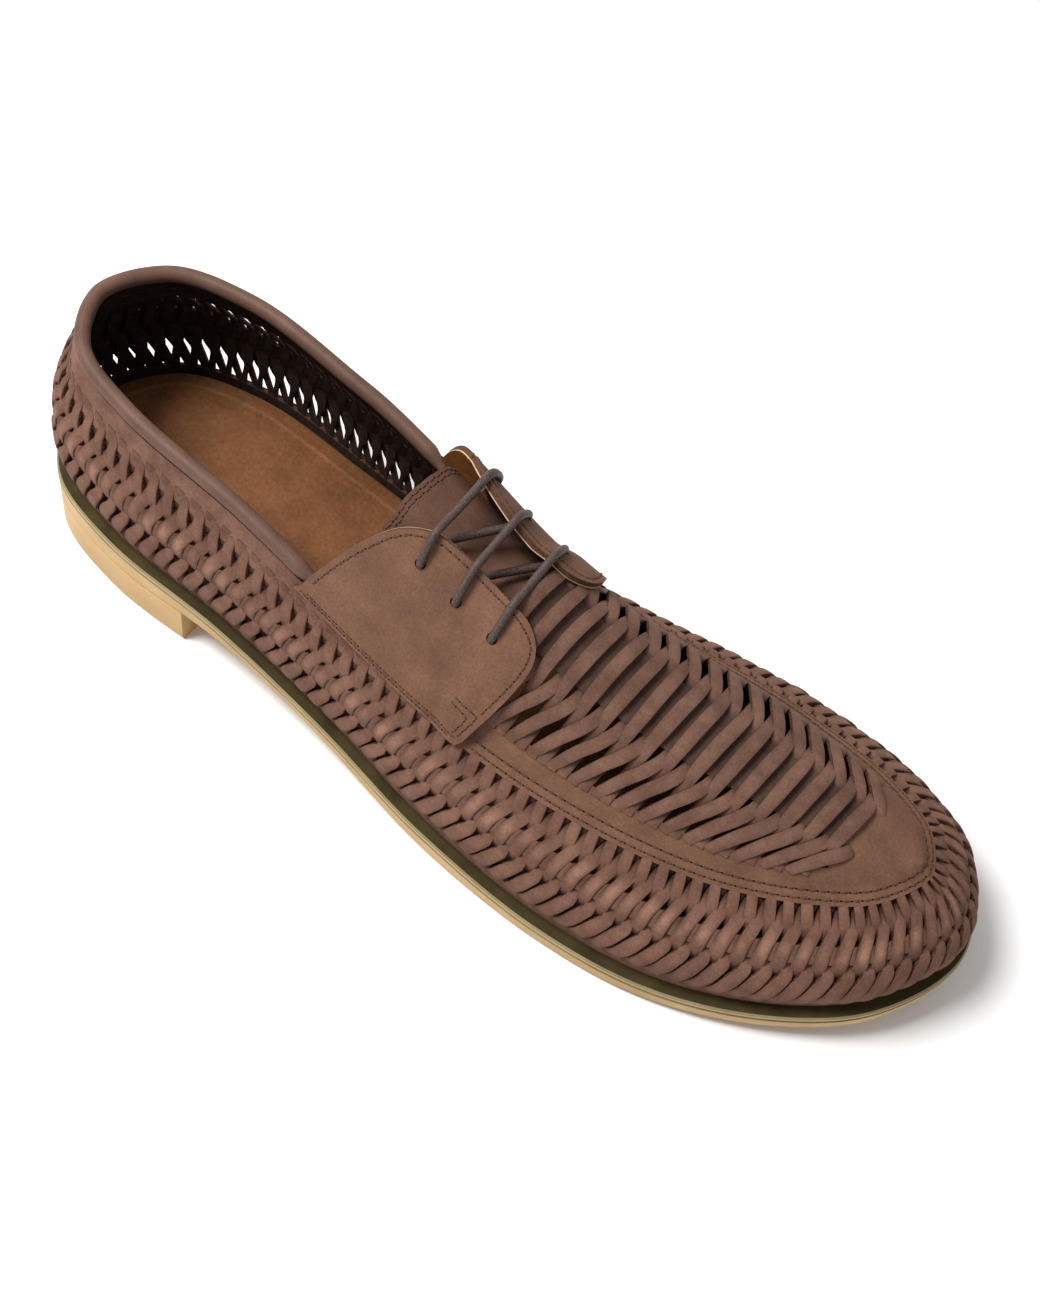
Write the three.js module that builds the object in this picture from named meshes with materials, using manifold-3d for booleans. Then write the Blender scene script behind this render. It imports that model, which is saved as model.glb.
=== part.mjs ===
// Right-foot lace-up shoe with a plaited leather upper on a thin moulded sole.
// Millimetres, toe at +X, outer side at -Y, floor at z = 0.
import * as THREE from 'three';
import Module from 'manifold-3d';

const wasm = await Module();
wasm.setup();
const { Manifold, Mesh } = wasm;

// Leather and seating
const WALL = 1.8;
const STRIP_RISE = 1.0;
const LAP_RISE = 0.9;
const SEAT = 0.3;

// Ground outline of the upper, heel back at x = 0: distance from the centre line on each side
const HEEL_POINT = { x: 0, y: 0 };
const TOE_POINT = { x: 292, y: 6 };
const OUTLINE = [
  { x: 12, outer: 23, inner: 24 },
  { x: 38, outer: 32.5, inner: 33 },
  { x: 80, outer: 35, inner: 32.5 },
  { x: 120, outer: 39.5, inner: 32 },
  { x: 160, outer: 46.5, inner: 36.5 },
  { x: 200, outer: 49.5, inner: 44.5 },
  { x: 232, outer: 46, inner: 46 },
  { x: 262, outer: 34, inner: 40 },
  { x: 282, outer: 18, inner: 28 },
];

// Side wall: height of its foot, rise of its seam, inset of the seam on each side, swell between them
const SIDE = [
  { x: 0, foot: 22.5, rise: 46, outer: 6, inner: 6, swell: 3.2 },
  { x: 40, foot: 21.5, rise: 43.7, outer: 6, inner: 6, swell: 2.6 },
  { x: 80, foot: 18.5, rise: 40.6, outer: 5.6, inner: 6, swell: 2.4 },
  { x: 120, foot: 13, rise: 36.5, outer: 6, inner: 8.5, swell: 2.4 },
  { x: 160, foot: 8.2, rise: 34, outer: 9.6, inner: 14.5, swell: 2.7 },
  { x: 200, foot: 6.5, rise: 32.6, outer: 14.6, inner: 19, swell: 3 },
  { x: 232, foot: 7.2, rise: 30.5, outer: 17.4, inner: 19.4, swell: 3.2 },
  { x: 262, foot: 10, rise: 28, outer: 18, inner: 18.4, swell: 3.4 },
  { x: 292, foot: 15, rise: 24.5, outer: 17, inner: 17, swell: 3.6 },
];
const INSET_POWER = 1.6;

// Instep and vamp: height of the ridge above the floor, and how round the section is
const CROWN = [
  { x: 90, z: 110, power: 1.85 },
  { x: 110, z: 102, power: 1.85 },
  { x: 130, z: 92.5, power: 1.85 },
  { x: 150, z: 82, power: 1.85 },
  { x: 172, z: 71.5, power: 1.9 },
  { x: 200, z: 62, power: 2 },
  { x: 230, z: 55, power: 2.1 },
  { x: 252, z: 50, power: 2.2 },
  { x: 276, z: 42, power: 2.2 },
];

// Side weave: strips cross, lie over a lengthwise band, and cross again
const SIDE_PITCHES = 74;
const SIDE_ROWS = {
  foot: 0,
  low: 0.13,
  lowMid: 0.265,
  bandLow: 0.4,
  bandMid: 0.51,
  bandTop: 0.62,
  topMid: 0.74,
  top: 0.86,
};
const SIDE_INNER_ROW = 0.7;

// Vamp: a plain border at the back, woven pitches, then a plain toe
const VAMP_BACK = 160;
const VAMP_BORDER = 7;
const VAMP_PITCH = 6.8;
const VAMP_PITCHES = 12;
const VAMP_TOE_ROWS = 2;
const VAMP_TOE_STEP = 9;
const VAMP_ROWS = { ridge: 1, border: 0.84, mid: 0.61, band: 0.38, half: 0.19 };
const LAP_END = 1.07;

// Throat: where the edge of each facing lies across the instep
const THROAT = [
  { x: 125, outer: 0.365, inner: 0.47 },
  { x: 129, outer: 0.362, inner: 0.345 },
  { x: 133, outer: 0.348, inner: 0.27 },
  { x: 139, outer: 0.314, inner: 0.205 },
  { x: 146, outer: 0.294, inner: 0.165 },
  { x: 160, outer: 0.285, inner: 0.15 },
];

// Facings, tongue and lace
const FACING_ENDS = {
  outer: { back: 101.6, slope: 40, corner: 5 },
  inner: { back: 104.5, slope: 33, corner: 0.8 },
};
const FACING_FRONT = 160.2;
const FACING_FRONT_SWELL = 8;
const FACING_FRONT_WAVE = 0.68;
const FACING_LOW = 1.05;
const FACING_SHARES = [0, 0.07, 0.26, 0.44, 0.6, 0.75, 0.88, 0.96, 1];
const FACING_STEPS = 7;
const FACING_THICKNESS = 1.9;
const FACING_FRONT_CORNER = 8;
const FACING_CORNER_START = 0.72;
const HOLES = [
  { x: 132.6, outer: 0.528, inner: 0.49 },
  { x: 144.5, outer: 0.524, inner: 0.4 },
  { x: 156.4, outer: 0.512, inner: 0.365 },
];
const HOLE_RADIUS = 1.8;
const TONGUE_EDGE = [
  { x: -0.62, back: 118.1 },
  { x: -0.5, back: 119.6 },
  { x: -0.25, back: 120.6 },
  { x: 0, back: 121.7 },
  { x: 0.5, back: 121.9 },
  { x: 0.62, back: 121 },
];
const TONGUE_FRONT = 170;
const TONGUE_HALF = 0.62;
const TONGUE_THICKNESS = 2.2;
const TONGUE_DEPTH = 3.5;
const TONGUE_DEPTH_FRONT = WALL + 0.35;
const TONGUE_EDGE_DROP = 1.3;
const TONGUE_FLAT = { half: 0.5, drop: 9, full: 144, none: 166 };
const LACE_RADIUS = 1.2;
const LACE_SIDES = 6;
const LACE_CLEARANCE = 0.3;

// Collar roll
const COLLAR_ENDS = { outer: 99.5, inner: 102.6 };
const COLLAR_HALF_WIDTH = 2.3;
const COLLAR_HALF_HEIGHT = 2.4;
const COLLAR_SIDES = 8;
const COLLAR_STEPS = 36;

// Sole and insole
const SOLE_POINTS = 64;
const LEDGE = 4.5;
const SOLE_GROOVE = { top: 1.4, bottom: 2.4, depth: 0.6 };
const ARCH = [
  { x: 66, z: 12.4 },
  { x: 84, z: 12.1 },
  { x: 104, z: 9.6 },
  { x: 124, z: 6.3 },
  { x: 144, z: 3.1 },
  { x: 160, z: 1 },
  { x: 174, z: 0 },
];
const TOE_SPRING = [
  { x: 212, z: 0 },
  { x: 236, z: 0.9 },
  { x: 262, z: 3.6 },
  { x: 284, z: 7.2 },
  { x: 304, z: 11 },
];
const INSOLE_THICKNESS = 3;
const INSOLE_INSET = WALL + 0.6;

// Smooth table lookup: a monotone cubic through one column of a table
function column(rows, name) {
  const n = rows.length;
  const slope = [];
  for (let i = 0; i < n - 1; i += 1) {
    slope.push((rows[i + 1][name] - rows[i][name]) / (rows[i + 1].x - rows[i].x));
  }
  const tangent = [slope[0]];
  for (let i = 1; i < n - 1; i += 1) {
    const both = slope[i - 1] * slope[i];
    tangent.push(both > 0 ? (2 * both) / (slope[i - 1] + slope[i]) : 0);
  }
  tangent.push(slope[n - 2]);
  return (x) => {
    const at = THREE.MathUtils.clamp(x, rows[0].x, rows[n - 1].x);
    let i = 0;
    while (i < n - 2 && at > rows[i + 1].x) {
      i += 1;
    }
    const h = rows[i + 1].x - rows[i].x;
    const f = (at - rows[i].x) / h;
    const g = 1 - f;
    const ends = rows[i][name] * g * g * (1 + 2 * f) + rows[i + 1][name] * f * f * (3 - 2 * f);
    return ends + h * (tangent[i] * f * g * g - tangent[i + 1] * f * f * g);
  };
}

const footHeight = column(SIDE, 'foot');
const seamRise = column(SIDE, 'rise');
const outerInset = column(SIDE, 'outer');
const innerInset = column(SIDE, 'inner');
const swell = column(SIDE, 'swell');
const crownHeight = column(CROWN, 'z');
const crownPower = column(CROWN, 'power');
const outerThroat = column(THROAT, 'outer');
const innerThroat = column(THROAT, 'inner');
const tongueBack = column(TONGUE_EDGE, 'back');

const outlineCurve = new THREE.CatmullRomCurve3([
  new THREE.Vector3(HEEL_POINT.x, HEEL_POINT.y, 0),
  ...OUTLINE.map((row) => new THREE.Vector3(row.x, -row.outer, 0)),
  new THREE.Vector3(TOE_POINT.x, TOE_POINT.y, 0),
  ...OUTLINE.toReversed().map((row) => new THREE.Vector3(row.x, row.inner, 0)),
], true, 'centripetal');
outlineCurve.arcLengthDivisions = 1600;

const wrap = (t) => t - Math.floor(t);

function outlinePoint(t) {
  return outlineCurve.getPointAt(wrap(t));
}

// Level outward direction of the outline
function outlineNormal(t) {
  const step = 0.0015;
  const along = outlinePoint(t + step).sub(outlinePoint(t - step)).normalize();
  return new THREE.Vector3(along.y, -along.x, 0);
}

// Side wall: t runs heel, outer side, toe, inner side; v runs from the sole to the seam
function sidePoint(t, v) {
  const p = outlinePoint(t);
  const x = p.x;
  const lean = p.y * TOE_POINT.x < p.x * TOE_POINT.y ? outerInset(x) : innerInset(x);
  const inset = lean * v ** INSET_POWER - swell(x) * Math.sin(Math.PI * v);
  p.addScaledVector(outlineNormal(t), -inset);
  p.z = footHeight(x) + SEAT + seamRise(x) * v;
  return p;
}

function sideNormal(t, v) {
  const along = sidePoint(t + 0.001, v).sub(sidePoint(t - 0.001, v));
  const low = Math.max(v - 0.02, 0);
  const up = sidePoint(t, low + 0.04).sub(sidePoint(t, low));
  return along.cross(up).normalize();
}

// Position on the ring where the seam on one side passes a station
function seamParameter(x, sign) {
  let near = 0.02;
  let far = 0.488;
  for (let i = 0; i < 32; i += 1) {
    const middle = (near + far) / 2;
    if (sidePoint(-sign * middle, 1).x < x) {
      near = middle;
    } else {
      far = middle;
    }
  }
  return -sign * near;
}

const stations = new Map();

function seamAt(x) {
  const key = x.toFixed(4);
  if (!stations.has(key)) {
    const outer = seamParameter(x, -1);
    const inner = seamParameter(x, 1);
    stations.set(key, { outer, inner, low: sidePoint(outer, 1), high: sidePoint(inner, 1) });
  }
  return stations.get(key);
}

// Instep and vamp: s runs from -1 at the outer seam to 1 at the inner one, and beyond them down the side
function crownPoint(x, s) {
  const seam = seamAt(x);
  const beyond = Math.abs(s) - 1;
  if (beyond > 0) {
    return sidePoint(s < 0 ? seam.outer : seam.inner, 1 - beyond);
  }
  const p = seam.low.clone().lerp(seam.high, (s + 1) / 2);
  const middle = (seam.low.z + seam.high.z) / 2;
  p.z += (crownHeight(x) - middle) * (1 - Math.abs(s) ** crownPower(x));
  return p;
}

function crownNormal(x, s) {
  const step = 0.015;
  const along = crownPoint(x + 0.5, s).sub(crownPoint(x - 0.5, s));
  const across = crownPoint(x, s + step).sub(crownPoint(x, s - step));
  return along.cross(across).normalize();
}

function crownOffset(x, s, rise) {
  return crownPoint(x, s).addScaledVector(crownNormal(x, s), rise);
}

// Indexed mesh whose corners are named, so that neighbouring faces share them
class Skin {
  constructor() {
    this.points = [];
    this.faces = [];
    this.ids = new Map();
  }

  corner(name, place) {
    if (!this.ids.has(name)) {
      this.ids.set(name, this.points.length);
      this.points.push(place());
    }
    return this.ids.get(name);
  }

  face(...corners) {
    for (let i = 1; i < corners.length - 1; i += 1) {
      this.faces.push(corners[0], corners[i], corners[i + 1]);
    }
  }

  geometry() {
    const geometry = new THREE.BufferGeometry();
    const flat = this.points.flatMap((p) => [p.x, p.y, p.z]);
    geometry.setAttribute('position', new THREE.Float32BufferAttribute(flat, 3));
    geometry.setIndex(this.faces);
    return geometry;
  }
}

function solidOf(geometry) {
  const vertProperties = new Float32Array(geometry.attributes.position.array);
  const triVerts = new Uint32Array(geometry.index.array);
  const mesh = new Mesh({ numProp: 3, vertProperties, triVerts });
  mesh.merge();
  return new Manifold(mesh);
}

function geometryOf(solid) {
  const mesh = solid.getMesh();
  const geometry = new THREE.BufferGeometry();
  geometry.setAttribute('position', new THREE.Float32BufferAttribute(Array.from(mesh.vertProperties), 3));
  geometry.setIndex(Array.from(mesh.triVerts));
  return geometry;
}

// One crossing of two strips: the over strip leans along the row, and a gap lies on each side of it
function crossing(skin, corner, i, rows, lean, openBack, openFront) {
  const [low, mid, high] = rows;
  const id = (u, row, level) => corner(i + (lean > 0 ? u : 1 - u), row, level);
  const face = (...ids) => skin.face(...(lean > 0 ? ids : ids.reverse()));
  const a = id(0, low, 'out');
  const b = id(0.5, low, 'out');
  const a2 = id(1, low, 'out');
  const c = id(0, high, 'out');
  const d = id(0.5, high, 'out');
  const c2 = id(1, high, 'out');
  const eTop = id(0.25, mid, 'raised');
  const eLow = id(0.25, mid, 'out');
  const fTop = id(0.75, mid, 'raised');
  const fLow = id(0.75, mid, 'out');
  const aIn = id(0, low, 'in');
  const a2In = id(1, low, 'in');
  const cIn = id(0, high, 'in');
  const c2In = id(1, high, 'in');
  face(a, b, fTop, eTop);
  face(eTop, fTop, c2, d);
  face(b, a2, fLow);
  face(eLow, d, c);
  face(fTop, b, fLow);
  face(eTop, d, eLow);
  const backOpen = lean > 0 ? openBack : openFront;
  const frontOpen = lean > 0 ? openFront : openBack;
  let inside = [aIn, cIn, c2In, a2In];
  if (backOpen) {
    const eIn = id(0.25, mid, 'in');
    face(eLow, eIn, aIn, a, eTop);
    face(eLow, c, cIn, eIn);
    inside = [eIn, cIn, c2In, a2In, aIn];
  } else {
    face(a, eTop, eLow);
    face(a, eLow, c);
  }
  if (frontOpen) {
    const fIn = id(0.75, mid, 'in');
    face(a2, a2In, fIn, fLow);
    face(fLow, fIn, c2In, c2, fTop);
    inside = backOpen ? [fIn, a2In, aIn, inside[0], cIn, c2In] : [fIn, a2In, aIn, cIn, c2In];
  } else {
    face(c2, fTop, fLow);
    face(a2, c2, fLow);
  }
  return { face, inside };
}

// One pitch of the lengthwise band: a strip rises over it, then the band lies bare
function bandPitch(skin, corner, i, rows) {
  const level = (k) => (k === 0 || k === rows.length - 1 ? 'out' : 'raised');
  for (let k = 0; k < rows.length - 1; k += 1) {
    const near = rows[k];
    const far = rows[k + 1];
    const first = corner(i, near, level(k));
    const second = corner(i + 0.5, near, level(k));
    const third = corner(i + 0.5, far, level(k + 1));
    const fourth = corner(i, far, level(k + 1));
    skin.face(first, second, third, fourth);
    const bare = [corner(i + 0.5, near, 'out'), corner(i + 1, near, 'out')];
    bare.push(corner(i + 1, far, 'out'), corner(i + 0.5, far, 'out'));
    skin.face(...bare);
    const front = [...new Set([third, second, bare[0], bare[3]])];
    const back = [...new Set([first, fourth, corner(i, far, 'out'), corner(i, near, 'out')])];
    skin.face(...front);
    skin.face(...back);
  }
}

// Border between an even edge and the ends of the strips
function borderPitch(skin, corner, i, edge, row, edgeIsLow) {
  const ends = [corner(i, row, 'out'), corner(i + 0.5, row, 'out'), corner(i + 1, row, 'out')];
  const start = corner(i, edge, 'out');
  const end = corner(i + 1, edge, 'out');
  if (edgeIsLow) {
    skin.face(ends[1], ends[0], start, end, ends[2]);
  } else {
    skin.face(ends[1], ends[2], end, start, ends[0]);
  }
}

// Woven side ring
function buildSideRing() {
  const skin = new Skin();
  const rise = { out: 0, raised: STRIP_RISE, in: -WALL };
  const corner = (u, v, level) => {
    const at = u % SIDE_PITCHES;
    return skin.corner(`${at},${v},${level}`, () => {
      const t = at / SIDE_PITCHES;
      return sidePoint(t, v).addScaledVector(sideNormal(t, v), rise[level]);
    });
  };
  const r = SIDE_ROWS;
  for (let i = 0; i < SIDE_PITCHES; i += 1) {
    borderPitch(skin, corner, i, r.foot, r.low, true);
    const low = crossing(skin, corner, i, [r.low, r.lowMid, r.bandLow], 1, true, true);
    low.face(...low.inside);
    bandPitch(skin, corner, i, [r.bandLow, r.bandMid, r.bandTop]);
    crossing(skin, corner, i, [r.bandTop, r.topMid, r.top], -1, false, false);
    borderPitch(skin, corner, i, 1, r.top, false);
    const inner = [[r.foot, r.low], [r.bandLow, SIDE_INNER_ROW], [SIDE_INNER_ROW, 1]];
    for (const [near, far] of inner) {
      const back = [corner(i, near, 'in'), corner(i, far, 'in')];
      skin.face(...back, corner(i + 1, far, 'in'), corner(i + 1, near, 'in'));
    }
    skin.face(corner(i, 0, 'in'), corner(i + 1, 0, 'in'), corner(i + 1, 0, 'out'), corner(i, 0, 'out'));
    skin.face(corner(i, 1, 'out'), corner(i + 1, 1, 'out'), corner(i + 1, 1, 'in'), corner(i, 1, 'in'));
  }
  return skin;
}

// Woven vamp, lapped over the top of the side ring
function buildVamp() {
  const skin = new Skin();
  const first = VAMP_BACK + VAMP_BORDER;
  const plain = VAMP_PITCHES + VAMP_TOE_ROWS;
  const toe = plain + 1;
  const { ridge, border, mid, band, half } = VAMP_ROWS;
  const lines = [-LAP_END, -ridge, -border, -band, -half, 0, half, band, border, ridge, LAP_END];
  const station = (u) => {
    const woven = Math.min(u, VAMP_PITCHES);
    return u < 0 ? VAMP_BACK : first + woven * VAMP_PITCH + (u - woven) * VAMP_TOE_STEP;
  };
  const last = seamAt(station(plain));
  const offsets = { out: 0, raised: STRIP_RISE, in: -WALL };
  const seamOffset = (t, v, level) => {
    const n = sideNormal(t, v);
    if (v === 1) {
      n.z += 0.8;
      n.normalize();
    }
    const depth = v === 1 ? WALL : WALL / 2;
    return sidePoint(t, v).addScaledVector(n, level === 'in' ? -depth : LAP_RISE);
  };
  const arc = (s) => last.outer + ((1 + last.inner - last.outer) * (s + 1)) / 2;
  const corner = (u, s, level) => skin.corner(u > toe && Math.abs(s) === ridge
    ? `${toe},${Math.sign(s) * LAP_END},${level}`
    : `${u},${s},${level}`, () => {
    const size = Math.abs(s);
    if (u >= toe) {
      const t = arc(THREE.MathUtils.clamp(s, -1, 1));
      return seamOffset(t, u > toe || size > 1 ? 2 - LAP_END : 1, level);
    }
    if (size >= 1) {
      const seam = seamAt(station(u));
      return seamOffset(s < 0 ? seam.outer : seam.inner, 2 - size, level);
    }
    return crownOffset(station(u), s, offsets[level]);
  });
  const quad = (u, v, near, far) => {
    const around = [[u, near], [v, near], [v, far], [u, far]];
    skin.face(...around.map(([m, s]) => corner(m, s, 'out')));
  };
  const quadIn = (u, v, near, far) => {
    const around = [[u, far], [v, far], [v, near], [u, near]];
    skin.face(...around.map(([m, s]) => corner(m, s, 'in')));
  };
  for (let i = 0; i < VAMP_PITCHES; i += 1) {
    const open = [i > 0, i < VAMP_PITCHES - 1];
    quad(i, i + 1, -LAP_END, -ridge);
    borderPitch(skin, corner, i, -ridge, -border, true);
    const near = crossing(skin, corner, i, [-border, -mid, -band], 1, ...open);
    near.face(...near.inside);
    bandPitch(skin, corner, i, [-band, -half, 0, half, band]);
    const far = crossing(skin, corner, i, [band, mid, border], -1, ...open);
    far.face(...far.inside);
    borderPitch(skin, corner, i, ridge, border, false);
    quad(i, i + 1, ridge, LAP_END);
    const lining = [[-LAP_END, -ridge], [-ridge, -border], [-band, -half], [-half, 0]];
    for (const [a, b] of lining) {
      quadIn(i, i + 1, a, b);
      quadIn(i, i + 1, -b, -a);
    }
  }
  const ends = [[-1, 0]];
  for (let u = VAMP_PITCHES; u < toe; u += 1) {
    ends.push([u, u + 1]);
  }
  for (const [u, v] of ends) {
    for (let k = 0; k < lines.length - 1; k += 1) {
      quad(u, v, lines[k], lines[k + 1]);
      quadIn(u, v, lines[k], lines[k + 1]);
    }
  }
  const lapLines = lines.slice(1, -1);
  for (let k = 0; k < lapLines.length - 1; k += 1) {
    quad(toe, toe + 1, lapLines[k], lapLines[k + 1]);
    quadIn(toe, toe + 1, lapLines[k], lapLines[k + 1]);
  }
  const edge = [];
  for (let u = -1; u <= toe; u += 1) {
    edge.push([u, -LAP_END]);
  }
  lapLines.slice(1, -1).forEach((s) => edge.push([toe + 1, s]));
  for (let u = toe; u >= -1; u -= 1) {
    edge.push([u, LAP_END]);
  }
  lapLines.toReversed().forEach((s) => edge.push([-1, s]));
  for (let k = 0; k < edge.length; k += 1) {
    const [u, s] = edge[k];
    const [v, q] = edge[(k + 1) % edge.length];
    skin.face(corner(u, s, 'in'), corner(v, q, 'in'), corner(v, q, 'out'), corner(u, s, 'out'));
  }
  return skin;
}

// Closed slab between two surfaces over a grid of named rows and steps
function slab(rowCount, stepCount, top, bottom) {
  const skin = new Skin();
  const place = { top, low: bottom };
  const corner = (i, k, side) => skin.corner(`${i},${k},${side}`, () => place[side](i, k));
  for (let k = 0; k < rowCount; k += 1) {
    for (let i = 0; i < stepCount; i += 1) {
      const around = [[i, k], [i + 1, k], [i + 1, k + 1], [i, k + 1]];
      skin.face(...around.map(([m, n]) => corner(m, n, 'top')));
      skin.face(...around.toReversed().map(([m, n]) => corner(m, n, 'low')));
    }
  }
  const edge = [];
  for (let i = 0; i < stepCount; i += 1) {
    edge.push([i, 0]);
  }
  for (let k = 0; k < rowCount; k += 1) {
    edge.push([stepCount, k]);
  }
  for (let i = stepCount; i > 0; i -= 1) {
    edge.push([i, rowCount]);
  }
  for (let k = rowCount; k > 0; k -= 1) {
    edge.push([0, k]);
  }
  edge.forEach(([i, k], n) => {
    const [j, m] = edge[(n + 1) % edge.length];
    skin.face(corner(i, k, 'low'), corner(j, m, 'low'), corner(j, m, 'top'), corner(i, k, 'top'));
  });
  return skin;
}

// Where the throat edge and the lace holes of one facing lie
function throatEdge(x, sign) {
  return sign < 0 ? outerThroat(x) : innerThroat(x);
}

function holePlace(hole, sign) {
  return sign < 0 ? hole.outer : hole.inner;
}

// Rise of a facing where its front end climbs over the vamp
function facingLift(x) {
  return THREE.MathUtils.smoothstep(x, VAMP_BACK - 9, VAMP_BACK - 1) * (LAP_RISE + 0.15);
}

// Facing: lapped over the seam, its front end lifted over the vamp, its throat corners rounded
function buildFacing(sign) {
  const shares = sign < 0 ? FACING_SHARES : FACING_SHARES.toReversed();
  const end = sign < 0 ? FACING_ENDS.outer : FACING_ENDS.inner;
  const across = (x, w) => THREE.MathUtils.lerp(FACING_LOW, throatEdge(x, sign), w);
  const place = (i, k, rise) => {
    const w = shares[k];
    const corner = THREE.MathUtils.clamp((w - FACING_CORNER_START) / (1 - FACING_CORNER_START), 0, 1);
    const rounding = 1 - Math.sqrt(1 - corner * corner);
    const reach = FACING_LOW - across(THROAT[0].x, w);
    const back = end.back + end.slope * reach + end.corner * rounding;
    const swelling = FACING_FRONT_SWELL * Math.sin(Math.PI * FACING_FRONT_WAVE * w);
    const front = FACING_FRONT + swelling - FACING_FRONT_CORNER * rounding;
    const x = THREE.MathUtils.lerp(back, front, i / FACING_STEPS);
    return crownOffset(x, sign * across(x, w), SEAT + facingLift(x) + rise);
  };
  const top = (i, k) => place(i, k, FACING_THICKNESS);
  const bottom = (i, k) => place(i, k, 0);
  return slab(shares.length - 1, FACING_STEPS, top, bottom);
}

// Tongue: lies nearly flat below the lace and slips under the vamp
function buildTongue() {
  const { band, half } = VAMP_ROWS;
  const rows = [-TONGUE_HALF, -band, -half, 0, half, band, TONGUE_HALF];
  const steps = 9;
  const place = (i, k, drop) => {
    const s = rows[k];
    const x = THREE.MathUtils.lerp(tongueBack(s), TONGUE_FRONT, i / steps);
    const lift = THREE.MathUtils.smoothstep(x, VAMP_BACK - 3, VAMP_BACK + 3);
    const front = TONGUE_DEPTH_FRONT + (Math.abs(s) > band ? TONGUE_EDGE_DROP : 0);
    const flat = Math.max(0, 1 - (s / TONGUE_FLAT.half) ** 2);
    const fade = 1 - THREE.MathUtils.smoothstep(x, TONGUE_FLAT.full, TONGUE_FLAT.none);
    const p = crownOffset(x, s, -THREE.MathUtils.lerp(TONGUE_DEPTH, front, lift) - drop);
    p.z -= TONGUE_FLAT.drop * flat * fade;
    return p;
  };
  const top = (i, k) => place(i, k, 0);
  const bottom = (i, k) => place(i, k, TONGUE_THICKNESS);
  return slab(rows.length - 1, steps, top, bottom);
}

// Closed tube: a section carried along a path of frames
function tube(frames, section) {
  const skin = new Skin();
  const n = section.length;
  const corner = (i, k) => skin.corner(`${i},${k % n}`, () => {
    const frame = frames[i];
    const [a, b] = section[k % n];
    const p = frame.at.clone();
    p.addScaledVector(frame.side, a * frame.scale);
    return p.addScaledVector(frame.up, b * frame.scale);
  });
  for (let i = 0; i < frames.length - 1; i += 1) {
    for (let k = 0; k < n; k += 1) {
      skin.face(corner(i, k), corner(i + 1, k), corner(i + 1, k + 1), corner(i, k + 1));
    }
  }
  const ring = section.map((_, k) => k);
  skin.face(...ring.map((k) => corner(0, k)));
  skin.face(...ring.toReversed().map((k) => corner(frames.length - 1, k)));
  return skin;
}

function oval(sides, width, height) {
  return Array.from({ length: sides }, (_, k) => {
    const angle = (2 * Math.PI * k) / sides;
    return [width * Math.cos(angle), height * Math.sin(angle)];
  });
}

// Lace route: up through a hole, over the facing, straight across, and down through the hole opposite;
// then a straight slant underneath to the next pair. Both ends are hidden under the facings.
// Each inward step is a share of the way from the hole to the throat edge.
const LACE_OVER = SEAT + FACING_THICKNESS + LACE_RADIUS + LACE_CLEARANCE;
const LACE_UNDER = -LACE_RADIUS - 0.7;
const LACE_RISE = [
  { inward: 0.5, rise: LACE_UNDER, lifted: 0 },
  { inward: 0, rise: -0.2, lifted: 0 },
  { inward: -0.05, rise: 1.4, lifted: 1 },
  { inward: 0.05, rise: LACE_OVER - 0.7, lifted: 1 },
  { inward: 0.27, rise: LACE_OVER, lifted: 1 },
  { inward: 1, rise: LACE_OVER, lifted: 1 },
];
const BAR_STEPS = 3;
const SLANT_STEPS = 4;

function laceRoute() {
  const points = [];
  const climb = (hole, sign) => LACE_RISE.map((p) => {
    const s = sign * THREE.MathUtils.lerp(holePlace(hole, sign), throatEdge(hole.x, sign), p.inward);
    return crownOffset(hole.x, s, p.rise + p.lifted * facingLift(hole.x));
  });
  HOLES.forEach((hole, i) => {
    const far = climb(hole, 1);
    const near = climb(hole, -1).toReversed();
    points.push(...far);
    for (let k = 1; k < BAR_STEPS; k += 1) {
      points.push(far.at(-1).clone().lerp(near[0], k / BAR_STEPS));
    }
    points.push(...near);
    if (i < HOLES.length - 1) {
      const next = climb(HOLES[i + 1], 1)[0];
      for (let k = 1; k < SLANT_STEPS; k += 1) {
        points.push(near.at(-1).clone().lerp(next, k / SLANT_STEPS));
      }
    }
  });
  return new THREE.CatmullRomCurve3(points, false, 'centripetal');
}

function buildLace(radius) {
  const curve = laceRoute();
  const count = (curve.points.length - 1) * 2;
  const frames = [];
  let side = new THREE.Vector3(1, 0, 0);
  for (let i = 0; i <= count; i += 1) {
    const along = curve.getTangent(i / count);
    side = side.clone().addScaledVector(along, -side.dot(along)).normalize();
    frames.push({ at: curve.getPoint(i / count), side, up: side.clone().cross(along), scale: 1 });
  }
  return tube(frames, oval(LACE_SIDES, radius, radius));
}

// Collar: a padded roll on the rim of the ring, round the heel
function buildCollar() {
  const start = seamParameter(COLLAR_ENDS.inner, 1);
  const end = seamParameter(COLLAR_ENDS.outer, -1);
  const frames = [];
  for (let i = 0; i <= COLLAR_STEPS; i += 1) {
    const share = i / COLLAR_STEPS;
    const t = THREE.MathUtils.lerp(start, end, share);
    const side = outlineNormal(t);
    const at = sidePoint(t, 1).addScaledVector(side, -WALL / 2);
    at.z += SEAT + COLLAR_HALF_HEIGHT;
    const near = Math.min(i, COLLAR_STEPS - i);
    frames.push({ at, side, up: new THREE.Vector3(0, 0, 1), scale: near === 0 ? 0.55 : 1 });
  }
  return tube(frames, oval(COLLAR_SIDES, COLLAR_HALF_WIDTH, COLLAR_HALF_HEIGHT));
}

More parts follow.
